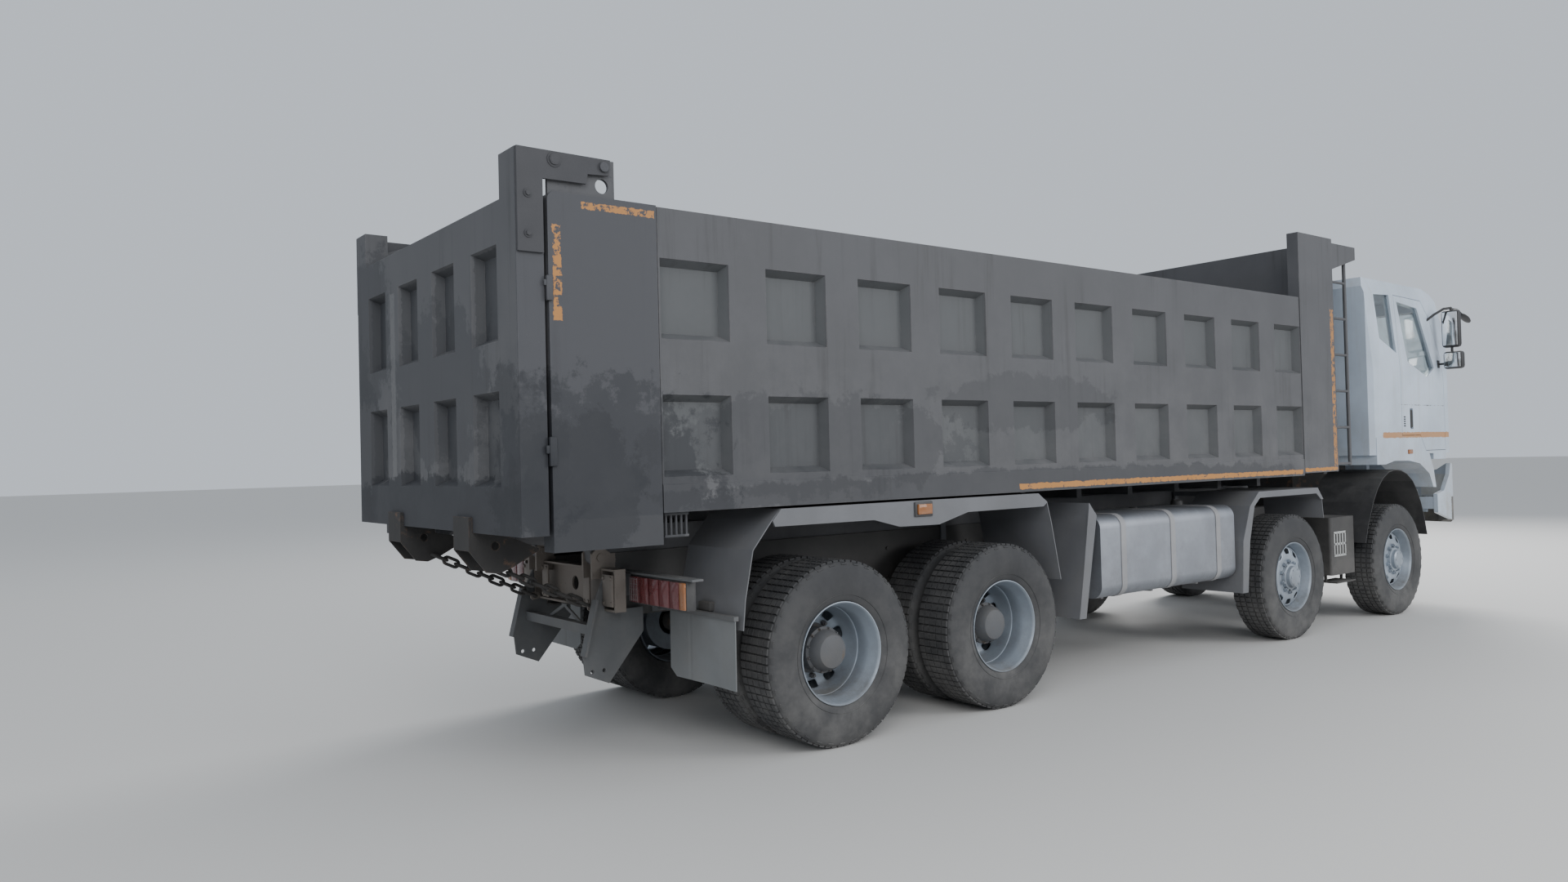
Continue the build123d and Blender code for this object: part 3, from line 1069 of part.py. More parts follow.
def main():
    """Make the folder for the parts and write every node into it."""
    os.makedirs("parts", exist_ok=True)
    wheels()
    chassis_frame()
    rear_brackets()
    lamps()
    fenders()
    wheel_housings()
    rear_axles()
    leaf_springs()
    front_axles()
    knuckles()
    tank()
    left_equipment()
    engine()
    bumper()
    body_floor()
    side_walls()
    body_posts()
    headboard()
    tailgate()
    tailgate_brackets()
    chains()
    hoist()
    cab_shell()
    doors()
    glass()
    grille()
    interior()
    mirrors()


main()
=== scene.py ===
import bpy
import bmesh
import math
from bpy.props import FloatProperty, FloatVectorProperty, IntProperty, PointerProperty
from mathutils import Matrix, Vector


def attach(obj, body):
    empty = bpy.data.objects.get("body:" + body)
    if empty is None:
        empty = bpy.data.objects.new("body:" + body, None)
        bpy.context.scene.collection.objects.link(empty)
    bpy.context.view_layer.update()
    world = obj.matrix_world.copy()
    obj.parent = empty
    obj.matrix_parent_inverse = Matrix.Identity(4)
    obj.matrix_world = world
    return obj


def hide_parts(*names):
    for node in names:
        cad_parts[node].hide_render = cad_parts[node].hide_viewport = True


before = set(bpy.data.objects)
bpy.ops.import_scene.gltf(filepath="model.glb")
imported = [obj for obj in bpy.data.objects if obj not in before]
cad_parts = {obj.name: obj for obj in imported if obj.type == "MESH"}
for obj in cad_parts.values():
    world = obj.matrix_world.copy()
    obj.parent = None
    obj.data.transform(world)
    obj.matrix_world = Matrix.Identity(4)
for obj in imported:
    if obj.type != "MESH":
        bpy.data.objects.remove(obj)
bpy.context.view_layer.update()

bl_info = {
    "name": "Dump truck finish",
    "version": (1, 0, 0),
    "blender": (4, 5, 0),
    "location": "View3D > Sidebar > Truck",
    "description": "Dresses the packed dump truck: tyres, wheels, chains, lamps, cab trim and paint",
    "category": "Object",
}

# Places along the truck are counted from the rearmost axle, as in the part's source,
# and moved to the frame by SHIFT.
SHIFT = -3.310
AXLES = {"1": 7.140, "2": 5.140, "3": 1.400, "4": 0.0}
TYRE_RADIUS = WHEEL_Z = 0.538
OUTER_TYRE_Y = 1.0855
INNER_TYRE_Y = 0.7355
RAIL_FACE = 0.4305
SIDES = {"left": 1, "right": -1}
TAU = 2 * math.pi


def at(x, y, z):
    """A point given from the rearmost axle, in the frame."""
    return Vector((x + SHIFT, y, z))


# Shader groups

SOCKET_KINDS = {3: "NodeSocketVector", 4: "NodeSocketColor"}
GREY = (0.5, 0.5, 0.5, 1)


def group(name, outputs, **inputs):
    """An empty shader group: its tree, what its named inputs give and what its outputs take."""
    tree = bpy.data.node_groups.new(name, "ShaderNodeTree")
    for label, default in inputs.items():
        kind = "NodeSocketFloat" if isinstance(default, float) else SOCKET_KINDS[len(default)]
        tree.interface.new_socket(name=label, in_out="INPUT", socket_type=kind).default_value = default
    for label in outputs:
        kind = "NodeSocketColor" if label == "Colour" else "NodeSocketFloat"
        tree.interface.new_socket(name=label, in_out="OUTPUT", socket_type=kind)
    return tree, tree.nodes.new("NodeGroupInput").outputs, tree.nodes.new("NodeGroupOutput").inputs


def feed(tree, made, inputs):
    """Sets a node's inputs, each to a value or to another node's output."""
    for key, value in inputs.items():
        if isinstance(value, bpy.types.NodeSocket):
            tree.links.new(value, made.inputs[key])
        else:
            made.inputs[key].default_value = value


def node(tree, kind, inputs, **settings):
    """A node with its settings and inputs."""
    made = tree.nodes.new(kind)
    for key, value in settings.items():
        setattr(made, key, value)
    feed(tree, made, inputs)
    return made


def math_node(tree, operation, a, b, clamp=False):
    return node(tree, "ShaderNodeMath", {0: a, 1: b}, operation=operation, use_clamp=clamp).outputs[0]


def plus(tree, a, b, clamp=False):
    return math_node(tree, "ADD", a, b, clamp)


def times(tree, a, b, clamp=False):
    return math_node(tree, "MULTIPLY", a, b, clamp)


def centred(tree, value):
    """A value of 0 to 1 moved to lie round 0."""
    return math_node(tree, "SUBTRACT", value, 0.5)


def vector_math(tree, operation, *given, output="Vector"):
    """A vector operation; a dot product or a length comes out as Value."""
    return node(tree, "ShaderNodeVectorMath", dict(enumerate(given)), operation=operation).outputs[output]


def split(tree, vector):
    """The x, y and z of a vector."""
    return node(tree, "ShaderNodeSeparateXYZ", {0: vector}).outputs


def mix_colour(tree, factor, a, b, blend="MIX"):
    """Two colours mixed: the second one's share is the factor."""
    return node(tree, "ShaderNodeMix", {0: factor, 6: a, 7: b}, data_type="RGBA", blend_type=blend).outputs[2]


def remap(tree, value, low, high, to_low=0.0, to_high=1.0):
    """Takes one range smoothly to another."""
    return node(tree, "ShaderNodeMapRange", {0: value, 1: low, 2: high, 3: to_low, 4: to_high},
                interpolation_type="SMOOTHSTEP").outputs[0]


def place(tree, scale=(1, 1, 1)):
    """Object coordinates, stretched along each axis."""
    coordinate = node(tree, "ShaderNodeTexCoord", {}).outputs["Object"]
    return node(tree, "ShaderNodeMapping", {"Vector": coordinate, "Scale": scale}).outputs[0]


def noise(tree, vector, scale, detail, roughness):
    """Cloudy noise between 0 and 1."""
    return node(tree, "ShaderNodeTexNoise",
                {"Vector": vector, "Scale": scale, "Detail": detail, "Roughness": roughness}).outputs["Fac"]


def face_normal(tree):
    return node(tree, "ShaderNodeNewGeometry", {}).outputs["Normal"]


def covered(tree, given, out, layer, mask):
    """Ends a group: a colour over the given one, where the mask times the amount says so."""
    mask = times(tree, mask, given["Amount"], clamp=True)
    tree.links.new(mix_colour(tree, mask, given["Colour"], given[layer]), out["Colour"])
    return tree


def road_dust_group():
    """Dust that is thicker low down and on faces that look up, with uneven patches."""
    tree, given, out = group("road_dust", ("Colour", "Roughness"), Colour=GREY, Dust=(0.36, 0.33, 0.29, 1),
                             Amount=0.5, Low=0.3, High=2.0, Roughness=0.5)
    where = place(tree)
    low_share = remap(tree, split(tree, where)[2], given["Low"], given["High"], 1.0, 0.12)
    patches = remap(tree, noise(tree, where, 3.2, 9.0, 0.68), 0.34, 0.72)
    settled = remap(tree, split(tree, face_normal(tree))[2], 0.25, 1.0, 0.0, 0.75)
    mask = times(tree, plus(tree, low_share, settled), given["Amount"])
    mask = times(tree, mask, plus(tree, patches, 0.25), clamp=True)
    rough = node(tree, "ShaderNodeMix", {0: mask, 2: given["Roughness"], 3: 0.92}, data_type="FLOAT").outputs[0]
    tree.links.new(mix_colour(tree, mask, given["Colour"], given["Dust"]), out["Colour"])
    tree.links.new(rough, out["Roughness"])
    return tree


def run_streaks_group():
    """Thin dark runs down the sheet, made by rain on dust."""
    tree, given, out = group("run_streaks", ("Colour",), Colour=GREY, Streak=(0.05, 0.045, 0.04, 1), Amount=0.4)
    long = noise(tree, place(tree, (6.5, 6.5, 0.35)), 2.4, 5.0, 0.62)
    broken = noise(tree, place(tree), 1.4, 4.0, 0.5)
    return covered(tree, given, out, "Streak",
                   times(tree, remap(tree, long, 0.5, 0.72), remap(tree, broken, 0.36, 0.66)))


def edge_wear_group():
    """Bare metal where corners rub."""
    tree, given, out = group("edge_wear", ("Colour",), Colour=GREY, Bare=(0.3, 0.27, 0.24, 1), Width=0.006,
                             Amount=0.6)
    soft = node(tree, "ShaderNodeBevel", {"Radius": given["Width"]}, samples=4).outputs[0]
    turn = vector_math(tree, "DOT_PRODUCT", soft, face_normal(tree), output="Value")
    rubbed = remap(tree, noise(tree, place(tree), 14.0, 8.0, 0.7), 0.44, 0.62)
    return covered(tree, given, out, "Bare", times(tree, remap(tree, turn, 0.995, 0.86), rubbed))


def soot_group():
    """Wet soot and oil with a ragged edge, thick in a box of the body and thin elsewhere."""
    tree, given, out = group("soot", ("Colour",), Colour=GREY, Soot=(0.012, 0.011, 0.01, 1), Middle=(0, 0, 0),
                             Reach=(1, 1, 1), Ragged=0.5, Amount=0.8)
    away = vector_math(tree, "SUBTRACT", place(tree), given["Middle"])
    scaled = vector_math(tree, "DIVIDE", away, given["Reach"])
    distance = vector_math(tree, "LENGTH", scaled, output="Value")
    ragged = times(tree, centred(tree, given["Ragged"]), 1.5)
    return covered(tree, given, out, "Soot", remap(tree, plus(tree, distance, ragged), 0.86, 0.74))


def mark_and_painted_shade_group():
    """A worn painted or taped mark inside a box of the frame; the body also lays its painted shade with it."""
    tree, given, out = group("tape_mark", ("Colour",), Colour=GREY, Tape=(0.75, 0.32, 0.05, 1), Low=(0, 0, 0),
                             High=(1, 1, 1), Worn=0.4, Ragged=0.5, Amount=1.0)
    where = place(tree)
    above = vector_math(tree, "SUBTRACT", where, given["Low"])
    below = vector_math(tree, "SUBTRACT", given["High"], where)
    x, y, z = split(tree, vector_math(tree, "MINIMUM", above, below))
    inside = math_node(tree, "MINIMUM", x, math_node(tree, "MINIMUM", y, z))
    edge = plus(tree, inside, times(tree, centred(tree, given["Ragged"]), 0.035))
    worn = times(tree, given["Worn"], 0.9)
    kept = remap(tree, given["Ragged"], worn, plus(tree, worn, 0.04))
    return covered(tree, given, out, "Tape", times(tree, remap(tree, edge, 0.0, 0.003), kept))


def grain_group():
    """Fine and broad unevenness of a surface as one height, and a spread of its roughness."""
    tree, given, out = group("surface_grain", ("Height", "Roughness", "Shade"), Fine=180.0, Broad=4.0, Depth=0.5,
                             Roughness=0.5, Spread=0.15)
    where = place(tree)
    fine = noise(tree, where, given["Fine"], 3.0, 0.5)
    broad = noise(tree, where, given["Broad"], 5.0, 0.55)
    swing = times(tree, centred(tree, broad), given["Spread"])
    results = {
        "Height": plus(tree, times(tree, fine, given["Depth"]), times(tree, broad, 0.8)),
        "Roughness": plus(tree, given["Roughness"], times(tree, swing, 2.0), clamp=True),
        "Shade": remap(tree, broad, 0.3, 0.7, 0.88, 1.1),
    }
    for label, result in results.items():
        tree.links.new(result, out[label])
    return tree


GROUP_MAKERS = {"road_dust": road_dust_group, "run_streaks": run_streaks_group, "edge_wear": edge_wear_group,
                "soot": soot_group, "tape_mark": mark_and_painted_shade_group, "surface_grain": grain_group}


def effect(tree, name, inputs):
    """One of the shared groups placed in a material with its own values."""
    made = tree.nodes.new("ShaderNodeGroup")
    made.node_tree = bpy.data.node_groups.get(name) or GROUP_MAKERS[name]()
    feed(tree, made, inputs)
    return made.outputs


def rgba(colour):
    return (*colour[:3], 1.0)


def new_material(name, **settings):
    """A material with nodes and its Principled shader, whose inputs are named with _ for a space."""
    material = bpy.data.materials.new(name)
    material.use_nodes = True
    shader = material.node_tree.nodes["Principled BSDF"]
    for key, value in settings.items():
        shader.inputs[key.replace("_", " ")].default_value = value
    return material, shader


BUMP_DEPTH = 0.002
# The broken edges' noise: its scale, detail and roughness.
RAGGED_SCALE = {"soot": (5.5, 10.0, 0.72), "tape_mark": (34.0, 8.0, 0.68)}


class Finish:
    """A material with one Principled shader, built up layer by layer from its base colour."""

    def __init__(self, name, colour, roughness, metallic=0.0, fine=160.0, broad=3.0, bump=0.15, depth=0.5,
                 spread=0.12, **settings):
        self.material, self.shader = new_material(name, Metallic=metallic, **settings)
        self.tree = self.material.node_tree
        grain = effect(self.tree, "surface_grain",
                       {"Fine": fine, "Broad": broad, "Depth": depth, "Roughness": roughness, "Spread": spread})
        shade = node(self.tree, "ShaderNodeCombineColor", dict.fromkeys(range(3), grain["Shade"])).outputs[0]
        self.colour = mix_colour(self.tree, 1.0, rgba(colour), shade, "MULTIPLY")
        self.roughness = grain["Roughness"]
        self.height = grain["Height"]
        self.bump = bump
        self.edges = {}

    def layer(self, name, **inputs):
        """One shared effect over what is there so far."""
        if name in RAGGED_SCALE:
            inputs["Ragged"] = self.ragged(name)
        if name == "road_dust":
            inputs["Roughness"] = self.roughness
        out = effect(self.tree, name, {**inputs, "Colour": self.colour})
        self.colour = out["Colour"]
        if name == "road_dust":
            self.roughness = out["Roughness"]

    def ragged(self, name):
        """The broken edge that all marks of one kind share in this material."""
        if name not in self.edges:
            self.edges[name] = noise(self.tree, place(self.tree), *RAGGED_SCALE[name])
        return self.edges[name]

    def marks(self, colour, boxes, worn=0.0, amount=1.0):
        """Marks inside boxes, each given from the rearmost axle as its low and high corner."""
        for low, high in boxes:
            self.layer("tape_mark", Tape=rgba(colour), Low=tuple(at(*low)), High=tuple(at(*high)), Worn=worn,
                       Amount=amount)

    def dust(self, colour, amount, low, high):
        """Road dust between two heights."""
        self.layer("road_dust", Dust=rgba(colour), Amount=amount, Low=low, High=high)

    def wear(self, bare, width, amount):
        """Bare metal along the edges."""
        self.layer("edge_wear", Bare=rgba(bare), Width=width, Amount=amount)

    def done(self):
        """Joins the layers to the shader and gives the material."""
        links = self.tree.links
        links.new(self.colour, self.shader.inputs["Base Color"])
        links.new(self.roughness, self.shader.inputs["Roughness"])
        bump = node(self.tree, "ShaderNodeBump",
                    {"Strength": self.bump, "Distance": BUMP_DEPTH, "Height": self.height})
        links.new(bump.outputs[0], self.shader.inputs["Normal"])
        return self.material


# Where soot lies on the body: the middle of each patch, its reach and its amount.
SOOT = [((-1.55, -1.25, 1.42), (0.95, 0.5, 0.82), 0.62), ((-1.66, -1.25, 1.50), (0.42, 0.5, 0.52), 0.60),
        ((-0.1, -1.25, 1.74), (1.45, 0.4, 0.36), 0.33), ((1.7, -1.25, 2.00), (1.1, 0.4, 0.24), 0.3),
        ((1.9, -1.25, 1.46), (4.2, 0.4, 0.13), 0.45), ((-1.95, 0.0, 1.42), (0.5, 1.9, 0.26), 0.80),
        ((-1.95, 1.05, 2.55), (0.5, 0.55, 0.62), 0.55), ((-1.95, -0.15, 2.1), (0.5, 0.9, 0.55), 0.4),
        ((-1.90, 1.15, 1.8), (0.5, 0.35, 0.8), 0.5), ((-1.90, -1.1, 1.7), (0.3, 0.35, 0.55), 0.5)]


def mirrored(low, high):
    """A box and its mirror image across the truck."""
    return [(low, high), ((low[0], -high[1], low[2]), (high[0], -low[1], high[2]))]


def body_finish():
    """Grey-brown paint under soot and dust, with painted shade on the tailgate's recess floors and the rear wings, and
    worn warning tapes on the rear wings and the bottom rails.
    """
    paint = bpy.context.scene.truck_paint
    made = Finish("body_sheet", paint.body, 0.62, fine=220.0, broad=1.6, bump=0.35)
    # Painted shade with soot: the tailgate's recess floors are darkened as if in shadow, and sooty.
    made.marks((0.026, 0.029, 0.034), [((-1.945, -1.1, 1.55), (-1.80, 1.1, 2.76))], amount=0.72)
    made.marks((0.078, 0.088, 0.09), mirrored((-1.2, -1.236, 1.56), (5.4, -1.16, 2.74)), amount=0.45)
    made.layer("run_streaks", Streak=(0.025, 0.025, 0.027, 1), Amount=0.5)
    made.wear((0.2, 0.19, 0.18), 0.008, 0.4)
    made.dust((0.15, 0.148, 0.15), 0.42, 1.2, 3.0)
    # Painted shade with soot: the outer faces of the rear wings and the ears above them are darkened as if turned from
    # the light, and sooty.
    made.marks((0.042, 0.044, 0.052), mirrored((-1.98, -1.35, 1.40), (-1.195, -1.236, 3.2)), amount=0.62)
    for middle, reach, amount in SOOT:
        made.layer("soot", Soot=(0.018, 0.02, 0.025, 1), Middle=tuple(at(*middle)), Reach=reach, Amount=amount)
    made.marks((0.2, 0.2, 0.2), [((-1.97, 0.52, 1.62), (-1.94, 0.60, 2.72))], 0.4, 0.35)
    wing_tapes = [((-1.777, -1.3, 2.36), (-1.732, -1.2, 2.82)), ((-1.62, -1.3, 2.912), (-1.21, -1.2, 2.948))]
    rail_tapes = [((1.55, -1.3, 1.425), (5.3, -1.2, 1.464)), ((5.34, -1.3, 1.44), (5.93, -1.2, 1.472))]
    made.marks(paint.tape, wing_tapes, 0.50, 0.9)
    made.marks(paint.tape, rail_tapes, 0.42)
    made.marks(paint.tape, [((5.87, -1.3, 1.48), (5.93, -1.2, 2.9))], 0.5, 0.8)
    return made.done()


def cab_finish():
    """Pale lacquer with a thin stripe under the doors, dark lower corners and the doors' cross seam."""
    paint = bpy.context.scene.truck_paint
    made = Finish("cab_lacquer", paint.cab, 0.28, 0.0, 260.0, 1.5, 0.06, 0.2, 0.06, Coat_Weight=0.35)
    for y in (-1.26, 1.2):
        made.marks(paint.tape, [((6.87, y, 1.722), (8.38, y + 0.06, 1.78))], 0.1)
        made.marks((0.06, 0.065, 0.07), [((7.296, y, 2.048), (8.284, y + 0.06, 2.053))])
    made.marks((0.03, 0.032, 0.034), [((8.37, -1.3, 0.8), (8.7, 1.3, 1.10))])
    made.layer("run_streaks", Streak=(0.34, 0.31, 0.27, 1), Amount=0.35)
    made.dust((0.33, 0.305, 0.26), 0.5, 0.8, 2.4)
    return made.done()


def plain_finish(name, colour, roughness, dust, wear=0.0, bare=(0.3, 0.26, 0.22), low=0.2, high=1.5, **more):
    """One paint, plastic or metal with worn edges and road dust."""
    made = Finish(name, colour, roughness, **more)
    if wear:
        made.wear(bare, 0.005, wear)
    if dust:
        made.dust((0.17, 0.165, 0.158), dust, low, high)
    return made.done()


UPPER_ARMS = [((-2.0, -1.4, 2.6), (-1.3, 1.4, 3.3))]
UPPER_PAINT = (0.048, 0.049, 0.055)


def rusty_finish(name, colour, rust, reach, roughness=0.75):
    """Rough dark steel with rust, and with the body's paint on what stands high at the tail."""
    made = Finish(name, colour, roughness, fine=90.0, broad=6.0, bump=0.7)
    made.wear(rust, 0.01, 0.9)
    spread = noise(made.tree, place(made.tree), 9.0, 10.0, 0.7)
    blotch = remap(made.tree, spread, 0.62 - reach * 0.3, 0.72 - reach * 0.2)
    made.colour = mix_colour(made.tree, blotch, made.colour, rgba(rust))
    made.marks(UPPER_PAINT, UPPER_ARMS)
    made.dust((0.15, 0.14, 0.125), 0.4, 0.3, 1.4)
    return made.done()


def glass_finish(name, colour):
    """Clear glass with dusty smears."""
    material, shader = new_material(name, Transmission_Weight=1.0, IOR=1.45)
    tree = material.node_tree
    smear = noise(tree, place(tree), 3.0, 8.0, 0.7)
    dusty = mix_colour(tree, remap(tree, smear, 0.5, 0.85), rgba(colour), (0.62, 0.62, 0.6, 1))
    tree.links.new(dusty, shader.inputs["Base Color"])
    tree.links.new(remap(tree, smear, 0.45, 0.85, 0.03, 0.19), shader.inputs["Roughness"])
    return material


def waves(tree, scale, distortion, way):
    """A fine wave along one axis, for ribs and threads."""
    return node(tree, "ShaderNodeTexWave", {"Vector": place(tree), "Scale": scale, "Distortion": distortion},
                bands_direction=way).outputs["Fac"]


def lens_finish(name, colour):
    """A lamp's pane with fine level ribs."""
    made = Finish(name, colour, 0.18, fine=200.0, broad=6.0, bump=0.5, Coat_Weight=0.6)
    made.height = waves(made.tree, 90.0, 0.0, "Z")
    made.dust((0.13, 0.122, 0.118), 0.45, 0.6, 1.3)
    return made.done()


def chassis_finish():
    """Dark frame paint with rust at its edges, and yellow-brown rust over the tail beam."""
    made = Finish("chassis_paint", (0.032, 0.031, 0.031), 0.6, broad=4.0, bump=0.4)
    made.marks((0.2, 0.17, 0.145), [((-1.20, -0.62, 0.80), (-1.03, 0.62, 1.20))], 0.35, 0.85)
    made.wear((0.12, 0.08, 0.055), 0.006, 0.6)
    made.dust((0.16, 0.152, 0.142), 0.5, 0.2, 1.5)
    return made.done()


def cloth_finish():
    """Woven seat cloth: two crossed waves make its threads."""
    made = Finish("seat_cloth", (0.085, 0.085, 0.095), 0.92, fine=300.0, broad=9.0, bump=0.6, Sheen_Weight=0.35)
    warp, weft = [waves(made.tree, 260.0, 0.4, way) for way in ("X", "Y")]
    made.height = times(made.tree, warp, weft)
    made.dust((0.2, 0.19, 0.17), 0.2, 1.0, 2.5)
    return made.done()


def finishes():
    """Every material of the truck by its name."""
    paint = bpy.context.scene.truck_paint
    return {
        "body": body_finish(),
        "cab": cab_finish(),
        "chassis": chassis_finish(),
        "bracket": rusty_finish("bracket_steel", (0.022, 0.021, 0.021), (0.11, 0.062, 0.038), 0.1),
        "underrun": plain_finish("underrun_steel", (0.085, 0.09, 0.095), 0.6, 0.6, 0.5, (0.14, 0.1, 0.07)),
        "fender": plain_finish("fender_sheet", paint.fender, 0.55, 0.5, 0.3, (0.3, 0.3, 0.29), fine=200.0, bump=0.2),
        "flap": plain_finish("flap_rubber", (0.165, 0.175, 0.18), 0.7, 0.5, fine=120.0, bump=0.4),
        "tyre": plain_finish("tyre_rubber", (0.027, 0.028, 0.031), 0.74, 0.55, fine=240.0, bump=0.3, low=0.0,
                             high=1.3),
        "rim": plain_finish("rim_silver", paint.rim, 0.38, 0.5, 0.3, metallic=0.45, low=0.1, high=1.2),
        "hub": rusty_finish("hub_iron", (0.085, 0.09, 0.1), (0.11, 0.085, 0.065), 0.1, 0.6),
        "axle": rusty_finish("axle_iron", (0.04, 0.038, 0.036), (0.14, 0.085, 0.05), 0.3),
        "tank": plain_finish("tank_aluminium", (0.33, 0.35, 0.39), 0.4, 0.5, metallic=0.8, fine=300.0, bump=0.12,
                             low=0.4, high=1.4),
        "strap": plain_finish("strap_steel", (0.3, 0.3, 0.31), 0.5, 0.5, 0.6),
        "chain": rusty_finish("chain_steel", (0.022, 0.021, 0.021), (0.07, 0.045, 0.032), 0.2),
        "black": plain_finish("black_plastic", (0.025, 0.025, 0.027), 0.48, 0.35, fine=400.0, bump=0.25, low=0.4,
                              high=2.2),
        "rubber": plain_finish("seal_rubber", (0.018, 0.018, 0.018), 0.6, 0.2, fine=350.0, bump=0.2, low=0.4,
                               high=2.4),
        "chrome": plain_finish("hoist_chrome", (0.7, 0.7, 0.72), 0.16, 0.0, metallic=1.0, fine=500.0, bump=0.03,
                               spread=0.05),
        "hoist": plain_finish("hoist_paint", (0.2, 0.2, 0.21), 0.5, 0.3, 0.4),
        "spring": rusty_finish("spring_leaves", (0.045, 0.042, 0.04), (0.13, 0.08, 0.05), 0.2),
        "pale": plain_finish("pale_paint", (0.5, 0.51, 0.5), 0.5, 0.5, 0.4),
        "cloth": cloth_finish(),
        "dash": plain_finish("dash_plastic", (0.1, 0.1, 0.11), 0.6, 0.2, fine=700.0, bump=0.3, low=1.0, high=2.5),
        "glass": glass_finish("window_glass", (0.78, 0.84, 0.85)),
        "mirror": plain_finish("mirror_face", (0.75, 0.77, 0.78), 0.05, 0.12, metallic=1.0, fine=500.0, bump=0.01,
                               spread=0.03),
        "red": lens_finish("red_lens", (0.13, 0.012, 0.016)),
        "amber": lens_finish("amber_lens", (0.34, 0.12, 0.025)),
        "grid": lens_finish("grid_lens", (0.24, 0.2, 0.2)),
        "clear": lens_finish("clear_lens", (0.55, 0.56, 0.55)),
    }


SURFACES = {}
# The frame's own nodes that stay, by the finish they get.
NODE_FINISH = {
    "body": ["body_floor", "side_walls", "body_posts", "headboard", "tailgate"],
    "bracket": ["tailgate_brackets"],
    "underrun": ["rear_brackets"],
    "cab": ["cab_shell", "door_left", "door_right", "bumper"],
    "chassis": ["chassis_frame", "side_boxes"],
    "axle": ["drive_axles", "front_axle_beams", "engine_block", "knuckle_1_left", "knuckle_1_right",
             "knuckle_2_left", "knuckle_2_right"],
    "fender": ["fenders"],
    "tank": ["fuel_tank"],
    "strap": ["tank_straps"],
    "black": ["air_intake", "grille", "wheel_housings"],
    "glass": ["cab_glass", "door_glass_left", "door_glass_right"],
    "clear": ["headlamps"],
}


# Mesh helpers

def piece(name, bm, surface, body, replaces=(), sharp=38.0, modifiers=()):
    """Turns a bmesh into an object that rides on a body."""
    bmesh.ops.remove_doubles(bm, verts=bm.verts, dist=0.00005)
    bmesh.ops.recalc_face_normals(bm, faces=bm.faces)
    mesh = bpy.data.meshes.new(name)
    bm.to_mesh(mesh)
    bm.free()
    mesh.shade_smooth()
    mesh.set_sharp_from_angle(angle=math.radians(sharp))
    mesh.materials.append(SURFACES[surface])
    made = bpy.data.objects.new(name, mesh)
    bpy.context.scene.collection.objects.link(made)
    for kind, settings in modifiers:
        modifier = made.modifiers.new(kind.lower(), kind)
        for key, value in settings.items():
            setattr(modifier, key, value)
    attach(made, body)
    if replaces:
        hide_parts(*replaces)
    return made


def lathe(bm, points, steps, centre, closed=False, sign=1):
    """Spins a profile of (along the axle, radius) round the Y axis through centre."""
    before = set(bm.verts)
    verts = [bm.verts.new((0, sign * y, -r)) for y, r in points]
    edges = [bm.edges.new(pair) for pair in zip(verts, verts[1:])]
    if closed:
        edges.append(bm.edges.new((verts[-1], verts[0])))
    bmesh.ops.spin(bm, geom=verts + edges, cent=(0, 0, 0), axis=(0, 1, 0), dvec=(0, 0, 0), angle=TAU, steps=steps,
                   use_merge=True, use_duplicate=False)
    fresh = [v for v in bm.verts if v not in before]
    bmesh.ops.translate(bm, vec=centre, verts=fresh)
    return fresh


def linked(verts, kind):
    """The edges or faces that meet some vertices, each once and always in the same order."""
    return list(dict.fromkeys(part for vert in verts for part in getattr(vert, kind)))


def round_edges(bm, edges, radius):
    bmesh.ops.bevel(bm, geom=edges, offset=radius, segments=2, profile=0.5, affect="EDGES", material=-1)


def facing(middle, way):
    """Moves the origin to a point and turns Z to a direction."""
    return Matrix.Translation(middle) @ way.to_track_quat("Z", "Y").to_matrix().to_4x4()


def round_bar(bm, start, end, radius, segments=14):
    """A round bar from one point to another."""
    start, end = Vector(start), Vector(end)
    way = end - start
    bmesh.ops.create_cone(bm, cap_ends=True, segments=segments, radius1=radius, radius2=radius, depth=way.length,
                          matrix=facing((start + end) / 2, way))


def hex_nut(bm, centre, way, radius, depth):
    """A six-sided nut that stands on a face, slightly narrower at its top."""
    way = Vector(way)
    bmesh.ops.create_cone(bm, cap_ends=True, segments=6, radius1=radius, radius2=radius * 0.94, depth=depth,
                          matrix=facing(Vector(centre) + way * depth / 2, way))


def blocks(bm, boxes, radius, sign=1):
    """Rounded boxes, each given from the rearmost axle by its ranges of x, y and z, on one side of the truck."""
    for x, y, z in boxes:
        near, far = sorted((sign * y[0], sign * y[1]))
        low, high = tuple(at(x[0], near, z[0])), tuple(at(x[1], far, z[1]))
        size = [b - a for a, b in zip(low, high)]
        middle = [(a + b) / 2 for a, b in zip(low, high)]
        made = bmesh.ops.create_cube(bm, size=1.0, matrix=Matrix.Translation(middle) @ Matrix.Diagonal((*size, 1.0)))
        round_edges(bm, linked(made["verts"], "link_edges"), radius)


def block_piece(name, surface, body, slot, sign, *shapes, replaces=()):
    """A piece of rounded boxes alone; each shape gives its boxes and how far their edges are rounded."""
    bm = bmesh.new()
    for boxes, radius in shapes:
        blocks(bm, boxes, radius, sign)
    piece(name, bm, surface, body, replaces)


def bars(bm, lines, radius, sign=1, segments=14):
    """Round bars, each along a line of points given from the rearmost axle."""
    for points in lines:
        ends = [at(x, sign * y, z) for x, y, z in points]
        for start, end in zip(ends, ends[1:]):
            round_bar(bm, start, end, radius, segments)


def turned(bm, points, steps, matrix, closed=False):
    """A profile spun round Y, then placed by a matrix."""
    fresh = lathe(bm, points, steps, (0, 0, 0), closed)
    bmesh.ops.transform(bm, matrix=matrix, verts=fresh)


